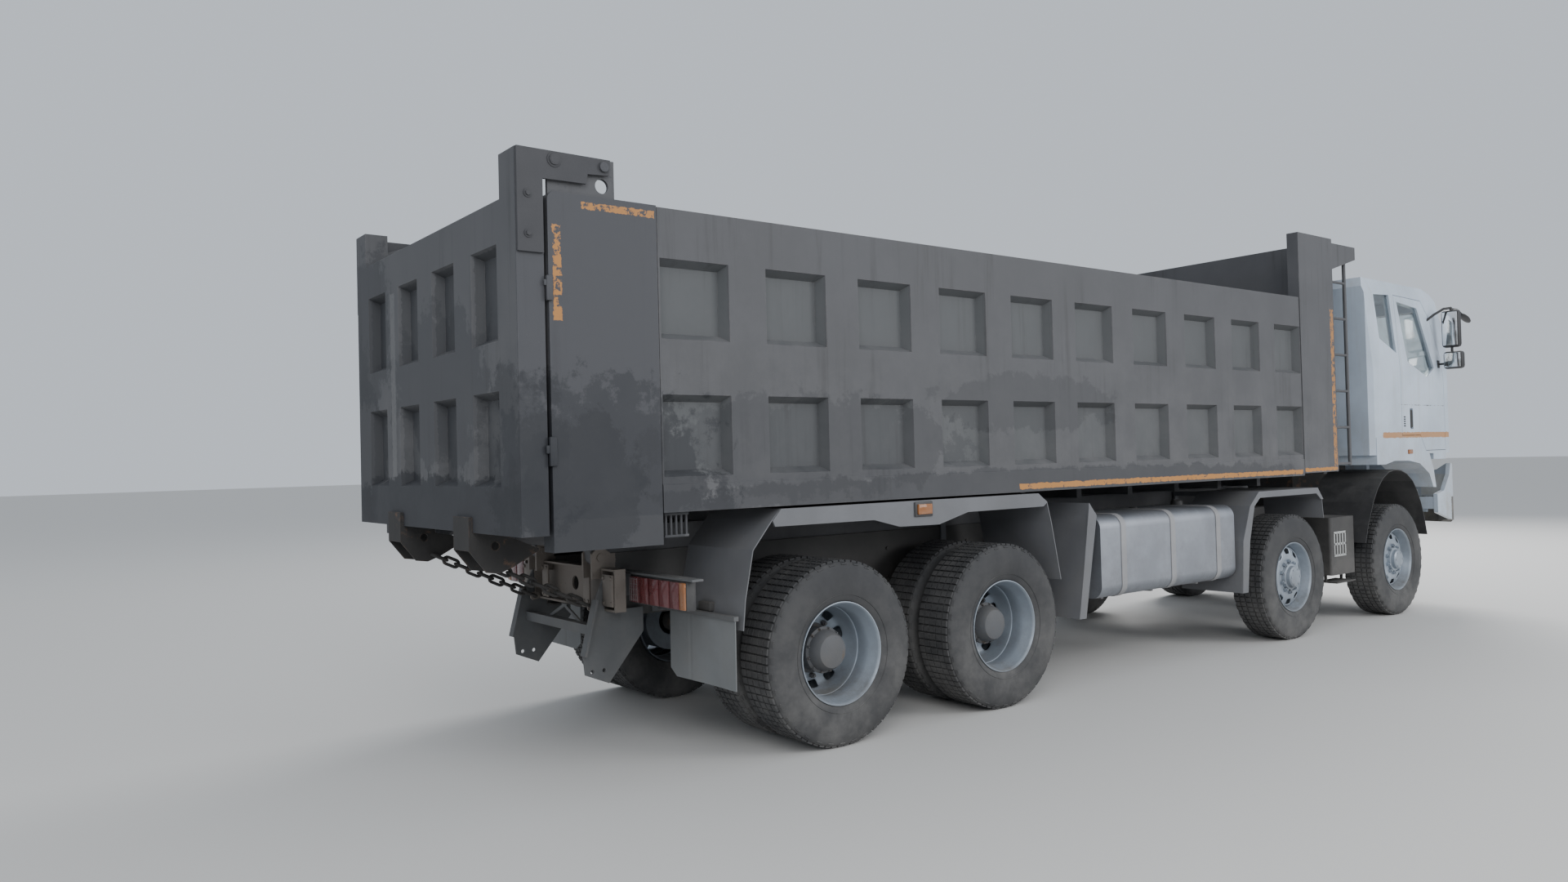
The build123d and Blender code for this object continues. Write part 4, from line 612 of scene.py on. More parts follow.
def raised(bm, faces, way):
    """Gives flat faces a thickness."""
    pushed = bmesh.ops.extrude_face_region(bm, geom=faces, use_keep_orig=True)["geom"]
    bmesh.ops.translate(bm, vec=way, verts=[g for g in pushed if isinstance(g, bmesh.types.BMVert)])


UPRIGHT = Matrix.Rotation(TAU / 4, 4, "X")
LENGTHWISE = Matrix.Rotation(-TAU / 4, 4, "Z")


# Tyres and wheels

SIDEWALL = [(-0.118, 0.292), (-0.127, 0.297), (-0.137, 0.312), (-0.147, 0.342), (-0.1545, 0.380), (-0.157, 0.420),
            (-0.155, 0.455), (-0.150, 0.485), (-0.143, 0.507), (-0.134, 0.520), (-0.127, 0.5235)]
RIBS = [-0.127, -0.078, -0.028, 0.028, 0.078, 0.127]


def from_hub(point, centre):
    """Where a point lies from a wheel's centre, and how far it is from the axle."""
    offset = point - Vector(centre)
    return offset, math.hypot(offset.x, offset.z)


def tyre_mesh(bm, centre, steps, tread):
    """One tyre: its carcass is spun, then the tread blocks and shoulder lugs are raised from it."""
    base = TYRE_RADIUS - tread
    outer = [(y, min(r, base)) for y, r in SIDEWALL[:-1]] + [(y, base) for y in RIBS]
    outer += [(-y, min(r, base)) for y, r in reversed(SIDEWALL[:-1])]
    inner = [(0.112, 0.300), (0.135, 0.36), (0.135, 0.46), (0.0, 0.495), (-0.135, 0.46), (-0.135, 0.36),
             (-0.112, 0.300)]
    fresh = set(lathe(bm, outer + inner, steps, centre, closed=True))
    crown, shoulder = [], []
    for face in bm.faces:
        if face.verts[0] not in fresh:
            continue
        middle, reach = from_hub(face.calc_center_median(), centre)
        if reach > base - 0.003 and abs(middle.y) < RIBS[-1]:
            crown.append(face)
        elif 0.500 < reach < base - 0.002 and abs(middle.y) > 0.130:
            turn = math.atan2(middle.z, middle.x) / TAU * steps
            if math.floor(turn) % 2:
                shoulder.append(face)
    bmesh.ops.recalc_face_normals(bm, faces=[f for f in bm.faces if f.verts[0] in fresh])
    steps_up = [(crown, 0.0045, 0.0), (crown, 0.001, tread), (shoulder, 0.003, 0.0), (shoulder, 0.001, 0.004)]
    for faces, margin, depth in steps_up:
        bmesh.ops.inset_individual(bm, faces=faces, thickness=margin, depth=depth, use_even_offset=True)
    for vert in dict.fromkeys(v for f in crown for v in f.verts):
        offset, reach = from_hub(vert.co, centre)
        vert.co.x = centre[0] + offset.x * TYRE_RADIUS / reach
        vert.co.z = centre[2] + offset.z * TYRE_RADIUS / reach
    for sign in (-1, 1):
        lathe(bm, [(0.142, 0.336), (0.1495, 0.340), (0.142, 0.344)], steps, centre, sign=sign)


class TRUCK_OT_tyres(bpy.types.Operator):
    """Round tyres with tread blocks, ribs and shoulder lugs"""
    bl_idname = "truck.tyres"
    bl_label = "Tyres"

    def execute(self, context):
        sizes = context.scene.truck_sizes
        for axle, x in AXLES.items():
            for side, sign in SIDES.items():
                bm = bmesh.new()
                rows = [OUTER_TYRE_Y] if axle in "12" else [OUTER_TYRE_Y, INNER_TYRE_Y]
                for y in rows:
                    tyre_mesh(bm, tuple(at(x, sign * y, WHEEL_Z)), sizes.tread_pitches, sizes.tread_depth)
                piece(f"tread_tyre_{axle}_{side}", bm, "tyre", f"wheel_{axle}_{side}",
                      [f"tyre_{axle}_{side}"], 30.0)
        return {"FINISHED"}


DISC_HOLES = 10


def punch(bm, centre, inner, outer, steps):
    """Opens hand holes between two radii of a spun disc."""
    gone = []
    for face in bm.faces:
        middle, reach = from_hub(face.calc_center_median(), centre)
        if inner < reach < outer:
            turn = (math.atan2(middle.z, middle.x) / TAU * steps) % steps
            if math.floor(turn) % (steps // DISC_HOLES) in (1, 2):
                gone.append(face)
    bmesh.ops.delete(bm, geom=gone, context="FACES")


def disc_piece(name, profile, band, centre, sign, body):
    """A pressed wheel disc with real hand holes, thickened and smoothed by live modifiers."""
    bm = bmesh.new()
    steps = DISC_HOLES * 4
    lathe(bm, profile, steps, centre, sign=sign)
    punch(bm, centre, *band, steps)
    piece(name, bm, "rim", body, sharp=180.0, modifiers=[
        ("SOLIDIFY", {"thickness": 0.011, "offset": 0.0}),
        ("SUBSURF", {"levels": 2, "render_levels": 2})])


def nuts(bm, centre, sign, y, ring, count, radius, depth):
    """A ring of wheel nuts on their bolts."""
    for i in range(count):
        turn = TAU * (i + 0.5) / count
        spot = (centre[0] + ring * math.cos(turn), centre[1] + sign * y, centre[2] + ring * math.sin(turn))
        hex_nut(bm, spot, (0, sign, 0), radius, depth)
        round_bar(bm, spot, (spot[0], spot[1] + sign * (depth + 0.012), spot[2]), radius * 0.55, 8)


WHEEL_NUTS = {"count": 10, "radius": 0.0175, "depth": 0.024}


class TRUCK_OT_wheels(bpy.types.Operator):
    """Steel wheels: rims with rolled lips, pressed discs with hand holes, hubs and nuts"""
    bl_idname = "truck.wheels"
    bl_label = "Wheels"

    def execute(self, context):
        for axle, x in AXLES.items():
            for side, sign in SIDES.items():
                body = f"wheel_{axle}_{side}"
                centre = tuple(at(x, 0, WHEEL_Z))
                (self.front if axle in "12" else self.rear)(axle, side, sign, centre, body)
        return {"FINISHED"}

    def barrel(self, bm, sign, centre, middle):
        """A rim's rolled lip, bead seat and well, from the outside to the inside."""
        half = 0.1375
        profile = [(half, 0.2985), (half + 0.0005, 0.294), (half - 0.006, 0.2885), (half - 0.016, 0.2835),
                   (half - 0.05, 0.2785), (half - 0.07, 0.266), (0.02, 0.262), (-0.06, 0.266), (-half + 0.03, 0.277),
                   (-half + 0.008, 0.282), (-half + 0.008, 0.286), (half - 0.012, 0.2865), (half - 0.010, 0.298)]
        lathe(bm, [(middle + y, r) for y, r in profile], 60, centre, closed=True, sign=sign)

    def front(self, axle, side, sign, centre, body):
        """A single wheel, with its disc outside and the hub that stands proud of it."""
        bm = bmesh.new()
        self.barrel(bm, sign, centre, OUTER_TYRE_Y)
        hub = [(1.120, 0.150), (1.168, 0.150), (1.172, 0.118), (1.196, 0.112), (1.200, 0.094), (1.226, 0.090),
               (1.236, 0.078), (1.238, 0.0)]
        lathe(bm, hub, 40, centre, sign=sign)
        for turn in range(6):
            angle = TAU * turn / 6
            spot = (centre[0] + 0.07 * math.cos(angle), sign * 1.236, centre[2] + 0.07 * math.sin(angle))
            hex_nut(bm, spot, (0, sign, 0), 0.009, 0.004)
        nuts(bm, centre, sign, 1.168, 0.133, **WHEEL_NUTS)
        brake = [(1.0, 0.20), (1.10, 0.20), (1.105, 0.10), (1.0, 0.08)]
        lathe(bm, brake, 32, centre, sign=sign)
        piece(f"rim_{axle}_{side}", bm, "rim", body, [f"wheel_{axle}_{side}"], 35.0)
        profile = [(1.128, 0.263), (1.140, 0.255), (1.150, 0.243), (1.158, 0.226), (1.165, 0.198), (1.168, 0.175),
                   (1.168, 0.140)]
        disc_piece(f"disc_{axle}_{side}", profile, (0.198, 0.243), centre, sign, body)

    def rear(self, axle, side, sign, centre, body):
        """A twin wheel, with its disc and hub deep inside the outer rim."""
        bm = bmesh.new()
        self.barrel(bm, sign, centre, OUTER_TYRE_Y)
        self.barrel(bm, sign, centre, INNER_TYRE_Y)
        drum = [(0.66, 0.10), (0.66, 0.205), (0.90, 0.205), (0.90, 0.18)]
        lathe(bm, drum, 40, centre, sign=sign)
        piece(f"rim_{axle}_{side}", bm, "rim", body, [f"wheel_{axle}_{side}"], 35.0)
        profile = [(1.058, 0.264), (1.020, 0.263), (0.975, 0.255), (0.945, 0.240), (0.930, 0.222), (0.922, 0.195),
                   (0.920, 0.175), (0.920, 0.130)]
        disc_piece(f"disc_{axle}_{side}", profile, (0.195, 0.240), centre, sign, body)
        bm = bmesh.new()
        hub = [(0.915, 0.150), (0.935, 0.150), (0.938, 0.128), (1.02, 0.124), (1.03, 0.136), (1.052, 0.137),
               (1.060, 0.122), (1.110, 0.112), (1.135, 0.096), (1.146, 0.062), (1.148, 0.0)]
        lathe(bm, hub, 40, centre, sign=sign)
        nuts(bm, centre, sign, 1.052, 0.129, 12, 0.0085, 0.008)
        nuts(bm, centre, sign, 0.926, 0.166, **WHEEL_NUTS)
        piece(f"hub_{axle}_{side}", bm, "hub", body, (), 35.0)


# Chains

def link(bm, matrix, length, width, wire):
    """A welded round-wire link along X, lying in the XY plane, swept from one ring of its wire."""
    before = set(bm.verts)
    half, arm = (length - width) / 2, (width - wire) / 2
    stand = Matrix.Translation((half, arm, 0)) @ Matrix.Rotation(TAU / 4, 4, "Y")
    ring = bmesh.ops.create_circle(bm, segments=8, radius=wire / 2, matrix=stand)["verts"]
    geom = ring + linked(ring, "link_edges")
    for centre, step in ((half, -2 * half), (-half, 2 * half)):
        bend = bmesh.ops.spin(bm, geom=geom, cent=(centre, 0, 0), axis=(0, 0, 1), dvec=(0, 0, 0), angle=-TAU / 2,
                              steps=6, use_duplicate=False)["geom_last"]
        edges = [g for g in bend if isinstance(g, bmesh.types.BMEdge)]
        pushed = bmesh.ops.extrude_edge_only(bm, edges=edges)["geom"]
        verts = [g for g in pushed if isinstance(g, bmesh.types.BMVert)]
        bmesh.ops.translate(bm, vec=(step, 0, 0), verts=verts)
        geom = verts + [g for g in pushed if isinstance(g, bmesh.types.BMEdge)]
    fresh = [v for v in bm.verts if v not in before]
    bmesh.ops.remove_doubles(bm, verts=fresh, dist=0.0003)
    fresh = [v for v in bm.verts if v not in before]
    bmesh.ops.transform(bm, matrix=matrix, verts=fresh)


# The first and the last point of a chain as (x, z), and its place across the truck.
CHAIN_EYE = (-1.165, 0.848)
CHAIN_END = (-1.800, 1.150)
CHAIN_Y = 0.385
LINKS = 9


class TRUCK_OT_chains(bpy.types.Operator):
    """Round-wire chains from the tail beam to the tailgate's lock brackets"""
    bl_idname = "truck.chains"
    bl_label = "Chains"

    def execute(self, context):
        sizes = context.scene.truck_sizes
        dx, dz = CHAIN_END[0] - CHAIN_EYE[0], CHAIN_END[1] - CHAIN_EYE[1]
        pitch = math.hypot(dx, dz) / LINKS
        length = pitch + 2 * sizes.chain_wire + 0.002
        width = 3 * sizes.chain_wire + 0.003
        lean = math.atan2(dz, -dx)
        for side, sign in SIDES.items():
            bm = bmesh.new()
            for i in range(LINKS):
                share = (i + 0.5) / LINKS
                spot = at(CHAIN_EYE[0] + share * dx, sign * CHAIN_Y, CHAIN_EYE[1] + share * dz)
                turn = Matrix.Rotation(lean, 4, "Y") @ Matrix.Rotation(TAU / 4 * (i % 2), 4, "X")
                link(bm, Matrix.Translation(spot) @ turn, length, width, sizes.chain_wire)
            piece(f"chain_{side}", bm, "chain", "chains", ["chains"], 60.0)
        return {"FINISHED"}


# Lamps and flaps

# A tail lamp's panes as (x, z) ranges and the reach of each across the truck.
PANE_X, PANE_Z = (-1.0165, -0.998), (0.880, 1.026)
RED_PANES = [(0.560, 0.658), (0.665, 0.763), (0.775, 0.873), (0.885, 0.983), (0.995, 1.083)]
GRID_STEP_Y, GRID_STEP_Z = 0.0205, 0.0295


class TRUCK_OT_lamps(bpy.types.Operator):
    """Tail lamps with red and amber panes and a clear grid, and side markers"""
    bl_idname = "truck.lamps"
    bl_label = "Lamps"

    def execute(self, context):
        grid = []
        for i in range(5):
            y, z = 0.566 + GRID_STEP_Y * i, 0.893 + GRID_STEP_Z * i
            grid += [((-1.0195, -1.010), (y, y + 0.003), (0.886, 1.020)),
                     ((-1.0190, -1.010), (0.564, 0.653), (z, z + 0.003))]
        for side, sign in SIDES.items():
            block_piece(f"lamp_housing_{side}", "black", "chassis", "black_plastic", sign,
                        ([((-1.004, -0.94), (0.552, 1.148), (0.871, 1.035))], 0.012),
                        ([((0.574, 0.726), (1.2505, 1.262), (1.294, 1.386))], 0.006), replaces=["lamps"])
            block_piece(f"tail_lens_red_{side}", "red", "chassis", "lamp_lens", sign,
                        ([(PANE_X, y, PANE_Z) for y in RED_PANES], 0.005))
            block_piece(f"tail_lens_amber_{side}", "amber", "chassis", "lamp_lens", sign,
                        ([(PANE_X, (1.090, 1.140), PANE_Z)], 0.005))
            block_piece(f"tail_lens_grid_{side}", "grid", "chassis", "lamp_lens", sign, (grid, 0.001))
            block_piece(f"side_lens_{side}", "amber", "chassis", "lamp_lens", sign,
                        ([((0.590, 0.710), (1.258, 1.2755), (1.308, 1.372))], 0.006))
        return {"FINISHED"}


# A flap's middle, half its height and width, its thickness, and where its bend starts and ends.
FLAP_X, FLAP_Y, FLAP_Z = -0.75, 0.901, 0.618
FLAP_HALF_HEIGHT, FLAP_HALF_WIDTH, FLAP_THICKNESS = 0.187, 0.330, 0.006
FLAP_TOP, FLAP_DROP = 0.805, 0.375


class TRUCK_OT_flaps(bpy.types.Operator):
    """Hanging rubber flaps behind the rearmost wheels"""
    bl_idname = "truck.flaps"
    bl_label = "Mudflaps"

    def execute(self, context):
        for side, sign in SIDES.items():
            bm = bmesh.new()
            matrix = Matrix.Translation(at(FLAP_X, sign * FLAP_Y, FLAP_Z)) @ Matrix.Rotation(TAU / 4, 4, "Y")
            matrix = matrix @ Matrix.Diagonal((FLAP_HALF_HEIGHT, FLAP_HALF_WIDTH, 1.0, 1.0))
            bmesh.ops.create_grid(bm, x_segments=14, y_segments=60, size=1.0, matrix=matrix)
            for vert in bm.verts:
                down = (FLAP_TOP - vert.co.z) / FLAP_DROP
                out = (vert.co.y - sign * FLAP_Y) / FLAP_HALF_WIDTH * sign
                crease = math.exp(-((out + 0.36) / 0.035) ** 2)
                vert.co.x += 0.0035 * math.sin(3.1 * out + 1.0) * down + 0.003 * crease
                if out < -0.8 and down > 0.75:
                    vert.co.z += (down - 0.75) * (-out - 0.8) * 0.9
            bmesh.ops.solidify(bm, geom=bm.faces[:], thickness=FLAP_THICKNESS)
            piece(f"flap_{side}", bm, "flap", "chassis", ["mudflaps"])
        return {"FINISHED"}


# Cab trim

SCREEN_EDGE = [(8.568, 1.070, 2.330), (8.547, 1.078, 2.500), (8.447, 1.052, 2.750), (8.322, 1.022, 2.976),
               (8.295, 1.010, 3.050)]
SILL_X, SILL_Z = 8.579, 2.328


class TRUCK_OT_cab_trim(bpy.types.Operator):
    """The windscreen's edging, door handles, wipers and marker lamps of the cab"""
    bl_idname = "truck.cab_trim"
    bl_label = "Cab trim"

    def execute(self, context):
        bm = bmesh.new()
        for sign in SIDES.values():
            bars(bm, [SCREEN_EDGE, [(SILL_X, 0.0, SILL_Z), (SILL_X, 0.80, SILL_Z), SCREEN_EDGE[0]],
                      [(8.295, 0.0, 3.052), SCREEN_EDGE[-1]]], 0.009, sign, 10)
            bars(bm, [[(8.574, 0.10, 2.41), (8.574, 0.74, 2.425)]], 0.006, sign, 8)
            bars(bm, [[(8.590, 0.46, 2.295), (8.577, 0.42, 2.418)]], 0.007, sign, 8)
            blocks(bm, [((8.578, 8.597), (0.435, 0.485), (2.275, 2.305))], 0.005, sign)
        piece("cab_seals", bm, "rubber", "cab")
        for side, sign in SIDES.items():
            grip = [((7.486, 7.534), (1.224, 1.2425), (1.826, 2.000))]
            grip += [((7.492, 7.528), (1.214, 1.232), z) for z in ((1.820, 1.850), (1.975, 2.005))]
            slots = [((7.335, 7.368), (1.236, 1.2435), (1.835 + 0.022 * i, 1.848 + 0.022 * i)) for i in range(5)]
            block_piece(f"door_trim_{side}", "rubber", f"door_{side}", "black_plastic", sign,
                        (grip, 0.006), (slots, 0.002))
            block_piece(f"cab_marker_{side}", "amber", "cab", "lamp_lens", sign,
                        ([((7.385, 7.478), (1.244, 1.259), (1.562, 1.607))], 0.006),
                        ([((8.030, 8.100), (0.985, 1.055), (3.248, 3.296))], 0.014))
        return {"FINISHED"}


# The upright tube that carries a mirror.
POST_X, POST_Y = 8.195, 1.370


class TRUCK_OT_mirrors(bpy.types.Operator):
    """Mirrors with rounded housings on tube arms, and the front mirror on the right"""
    bl_idname = "truck.mirrors"
    bl_label = "Mirrors"

    def execute(self, context):
        for side, sign in SIDES.items():
            bm = bmesh.new()
            blocks(bm, [((8.153, 8.238), (1.282, 1.458), (2.642, 3.028))], 0.032, sign)
            blocks(bm, [((8.153, 8.243), (1.292, 1.478), (2.422, 2.603))], 0.030, sign)
            bars(bm, [[(8.022, 1.198, 2.926), (8.060, 1.262, 2.985), (8.120, 1.330, 3.040), (POST_X, POST_Y, 3.052)],
                      [(POST_X, POST_Y, 2.440), (POST_X, POST_Y, 3.058)]], 0.0125, sign)
            bars(bm, [[(POST_X, 1.225, 2.480), (POST_X, POST_Y, 2.480)]], 0.011, sign)
            blocks(bm, [((8.170, 8.220), (1.231, 1.240), (2.440, 2.520))], 0.003, sign)
            if side == "right":
                leaf = Matrix.Translation(at(8.400, -1.425, 2.950)) @ Matrix.Rotation(math.radians(24), 4, "Y")
                bmesh.ops.create_uvsphere(bm, u_segments=24, v_segments=12, radius=1.0,
                                          matrix=leaf @ Matrix.Diagonal((0.104, 0.041, 0.0155, 1)))
                bars(bm, [[(POST_X, POST_Y, 3.040), (8.270, 1.400, 3.030), (8.335, 1.425, 2.980)]], 0.0115, sign)
            piece(f"mirror_housing_{side}", bm, "black", f"door_{side}", [f"mirror_{side}"])
            panes = [((1.300, 1.440), (2.664, 3.006)), ((1.310, 1.460), (2.440, 2.585))]
            block_piece(f"mirror_glass_{side}", "mirror", f"door_{side}", "black_plastic", sign,
                        ([((8.1500, 8.156), y, z) for y, z in panes], 0.0025))
        return {"FINISHED"}


# Inside the cab

def past(value, start):
    """How far a value of -1 to 1 lies beyond a start, as a share of what is left."""
    return max(0.0, abs(value) - start) / (1 - start)


CORNER_START = 0.72
GROOVE_WIDTH, GROOVE_DEPTH = 0.035, 0.35


def cushion(name, low, high, axis, crown, grooves, lean=0.0):
    """A stuffed pad: crowned on its broad faces, drawn in round its corners, with sewn channels across."""
    bm = bmesh.new()
    half = [(b - a) / 2 for a, b in zip(low, high)]
    middle = Vector([(a + b) / 2 for a, b in zip(low, high)])
    bmesh.ops.create_cube(bm, size=2.0)
    bmesh.ops.subdivide_edges(bm, edges=bm.edges[:], cuts=19, use_grid_fill=True)
    wide, tall = [i for i in range(3) if i != axis]
    for vert in bm.verts:
        u, v, w = vert.co[wide], vert.co[tall], vert.co[axis]
        corner = past(u, CORNER_START) * past(v, CORNER_START)
        rim = 1 - 0.07 * corner - 0.035 * (1 - abs(w)) * (1 - corner)
        swell = (1 - abs(u) ** 4) * (1 - abs(v) ** 4)
        sewn = sum(math.exp(-((u - g) / GROOVE_WIDTH) ** 2) for g in grooves) * GROOVE_DEPTH
        spot = Vector()
        spot[wide] = u * half[wide] * rim
        spot[tall] = v * half[tall] * rim
        spot[axis] = w * (half[axis] - crown + crown * swell * (1 - sewn))
        vert.co = spot + middle
        vert.co.x -= lean * (vert.co.z - low[2])
    bmesh.ops.translate(bm, vec=(SHIFT, 0, 0), verts=bm.verts)
    made = piece(name, bm, "cloth", "cab", ["seats"], sharp=180.0,
                 modifiers=[("SUBSURF", {"levels": 1, "render_levels": 1})])


SEAT_Y = 0.55
CAB_FLOOR = 1.622


class TRUCK_OT_inside(bpy.types.Operator):
    """Seats with stuffed cushions, the bunk, the dashboard and the steering wheel"""
    bl_idname = "truck.inside"
    bl_label = "Cab inside"

    def execute(self, context):
        bm = bmesh.new()
        for sign in SIDES.values():
            blocks(bm, [((7.39, 7.77), (0.35, 0.75), (CAB_FLOOR, 1.70)), ((7.41, 7.75), (0.37, 0.73), (1.70, 1.86)),
                        ((7.35, 7.81), (0.32, 0.78), (1.86, 1.898))], 0.012, sign)
        blocks(bm, [((6.737, 7.148), (-1.098, 1.098), (CAB_FLOOR, 1.878))], 0.012)
        piece("seat_boxes", bm, "dash", "cab", ["seats"])
        for side, sign in SIDES.items():
            y = sign * SEAT_Y
            cushion(f"seat_cushion_{side}", (7.335, y - 0.245, 1.901), (7.825, y + 0.245, 2.008), 2, 0.03,
                    (-0.45, 0.0, 0.45))
            cushion(f"seat_back_{side}", (7.315, y - 0.235, 2.016), (7.405, y + 0.235, 2.690), 0, 0.03,
                    (-0.42, 0.42), 0.149)
        cushion("bunk_pad", (6.737, -1.095, 1.882), (7.148, 1.095, 1.998), 2, 0.02, (0.0,))
        bm = bmesh.new()
        outline = [(8.152, 1.952), (8.488, 1.952), (8.488, 2.288), (8.262, 2.288), (8.205, 2.260), (8.152, 2.155)]
        face = bm.faces.new([bm.verts.new(at(x, -0.978, z)) for x, z in outline])
        raised(bm, [face], (0, 1.956, 0))
        round_edges(bm, bm.edges[:], 0.012)
        blocks(bm, [((8.252, 8.328), (-0.97, 0.97), (CAB_FLOOR, 1.953))], 0.012)
        blocks(bm, [((8.200, 8.300), (0.35, 0.75), (2.24, 2.289)),
                    ((8.148, 8.156), (-0.20, 0.18), (1.99, 2.13))], 0.012)
        blocks(bm, [((8.146, 8.156), (low, low + 0.12), (2.02, 2.09)) for low in (-0.86, -0.40, 0.26, 0.80)], 0.004)
        self.wheel(bm)
        piece("dash_panel", bm, "dash", "cab", ["dashboard"])
        return {"FINISHED"}

    def wheel(self, bm):
        """The steering wheel's rim, spokes, boss and column, leaning towards the driver."""
        spot = Matrix.Translation(at(8.0, SEAT_Y, 2.25)) @ Matrix.Rotation(math.radians(-65), 4, "Y")
        ring = [(0.0125 * math.sin(TAU * i / 10), 0.209 + 0.0125 * math.cos(TAU * i / 10)) for i in range(10)]
        turned(bm, ring, 48, spot @ UPRIGHT, closed=True)
        boss = [(-0.020, 0.0), (-0.020, 0.040), (0.008, 0.044), (0.018, 0.030), (0.020, 0.0)]
        turned(bm, boss, 28, spot @ UPRIGHT)
        for end in ((0, 0.205, 0), (0, -0.205, 0), (-0.205, 0, 0)):
            round_bar(bm, spot @ Vector((0, 0, 0)), spot @ Vector(end), 0.0065, 10)
        round_bar(bm, spot @ Vector((0, 0, -0.298)), spot @ Vector((0, 0, -0.015)), 0.027, 18)


# Hoist, springs and reservoirs

# The hoist's place, the ends of its outermost tube, and how far each further tube stands out.
HOIST_X, HOIST_LOW, HOIST_HIGH, HOIST_STEP = 6.330, 1.080, 2.800, 0.016
HOIST_RADII = (0.098, 0.0845, 0.0705, 0.0565, 0.0425)


class TRUCK_OT_hoist(bpy.types.Operator):
    """The round tubes of the front hoist with their collars, and the eye at the top"""
    bl_idname = "truck.hoist"
    bl_label = "Hoist"

    def execute(self, context):
        stand = Matrix.Translation(at(HOIST_X, 0, 0)) @ UPRIGHT
        for i, radius in enumerate(HOIST_RADII):
            low, high = HOIST_LOW + HOIST_STEP * i, HOIST_HIGH + HOIST_STEP * i
            bm = bmesh.new()
            if i < len(HOIST_RADII) - 1:
                shaft = radius if i else radius - 0.004
                bore = HOIST_RADII[i + 1] + 0.001
                tube = [(low, 0.0), (low, shaft - 0.003), (low + 0.003, shaft), (high - 0.060, shaft),
                        (high - 0.056, radius), (high - 0.003, radius), (high, radius - 0.003), (high, bore),
                        (high - 0.3, bore)]
                turned(bm, tube, 40, stand)
            else:
                turned(bm, [(low, 0.0), (low, radius), (2.950, radius), (2.970, radius - 0.006)], 40, stand)
                eye = [(-0.044, 0.0), (-0.044, 0.046), (-0.040, 0.050), (0.040, 0.050), (0.044, 0.046), (0.044, 0.0)]
                lathe(bm, eye, 32, tuple(at(HOIST_X, 0, 3.0)))
            if i == 0:
                foot = [(1.03, 0.0), (1.03, 0.049), (1.085, 0.049), (1.085, 0.070), (1.10, 0.070), (1.10, 0.0)]
                turned(bm, foot, 32, stand)
                sleeve = [(-0.053, 0.0225), (-0.053, 0.049), (-0.050, 0.051), (0.050, 0.051), (0.053, 0.049),
                          (0.053, 0.0225)]
                lathe(bm, sleeve, 32, tuple(at(HOIST_X, 0, 1.0)))
            name = f"hoist_stage_{i}" if i else "hoist_barrel"
            surface, slot = ("chrome", "hoist_chrome") if i else ("hoist", "hoist_paint")
            piece(f"{name}_tube", bm, surface, name, [name], 30.0)
        return {"FINISHED"}


# How far the springs stand from the middle, the bogie's pivot, and the leaves: half lengths in front, count behind.
FRONT_SPRING_Y, REAR_SPRING_Y, PIVOT_X = 0.43, 0.49, 0.7
FRONT_LEAVES, REAR_LEAVES = (0.778, 0.60, 0.42, 0.30, 0.20), 9
LEAF_WIDTH = 0.0885
FRONT_LEAF = {"thick": 0.0152, "rise": 0.15, "span": 0.78}
REAR_LEAF = {"thick": 0.013, "rise": -0.075, "span": 0.77}


class TRUCK_OT_springs(bpy.types.Operator):
    """Stacked spring leaves with their bolts at every axle"""
    bl_idname = "truck.springs"
    bl_label = "Springs"

    def execute(self, context):
        bm = bmesh.new()
        for sign in SIDES.values():
            for axle in ("1", "2"):
                for i, half in enumerate(FRONT_LEAVES):
                    self.leaf(bm, AXLES[axle], sign * FRONT_SPRING_Y, half, 0.5035 + 0.016 * i, **FRONT_LEAF)
                self.clamp(bm, AXLES[axle], sign, (0.383, 0.477), (0.49, 0.600), 0.065)
            for i in range(REAR_LEAVES):
                half, z = 0.765 - 0.062 * i, 0.7355 + 0.0138 * i
                self.leaf(bm, PIVOT_X, sign * REAR_SPRING_Y, half, z, **REAR_LEAF)
            self.clamp(bm, PIVOT_X, sign, (0.443, 0.537), (0.66, 0.875), 0.085)
            pivot = [(RAIL_FACE, 0.054), (0.53, 0.054), (0.536, 0.046), (0.536, 0.0)]
            lathe(bm, pivot, 28, tuple(at(PIVOT_X, 0, 0.608)), sign=sign)
            blocks(bm, [((0.60, 0.80), (0.446, 0.534), (0.61, 0.735))], 0.01, sign)
        piece("spring_packs", bm, "spring", "chassis", ["leaf_springs"])
        return {"FINISHED"}

    def leaf(self, bm, x, y, half, z, thick, rise, span):
        """One leaf: a divided strip, bent to a rise over a span and thickened."""
        matrix = Matrix.Translation(at(x, y, z)) @ Matrix.Diagonal((half, LEAF_WIDTH / 2, 1, 1))
        verts = bmesh.ops.create_grid(bm, x_segments=14, y_segments=1, size=1.0, matrix=matrix)["verts"]
        for vert in verts:
            vert.co.z += rise * ((vert.co.x - x - SHIFT) / span) ** 2
        raised(bm, linked(verts, "link_faces"), (0, 0, thick))

    def clamp(self, bm, x, sign, y, z, half):
        """Two bent bolts over the pack, with the plate they hold."""
        near, far = y[0] - 0.010, y[1] + 0.010
        for end in (x - half, x + half):
            bars(bm, [[(end, near, z[0]), (end, near, z[1])], [(end, far, z[0]), (end, far, z[1])],
                      [(end, y[0] - 0.014, z[1]), (end, y[1] + 0.014, z[1])]], 0.0085, sign, 10)
        plate = ((x - half - 0.02, x + half + 0.02), (y[0] - 0.02, y[1] + 0.02), (z[0] - 0.012, z[0] + 0.006))
        blocks(bm, [plate], 0.004, sign)


AIR_TANK_LENGTH, AIR_TANK_Z = 0.43, 0.90
TANK_Y = -0.80


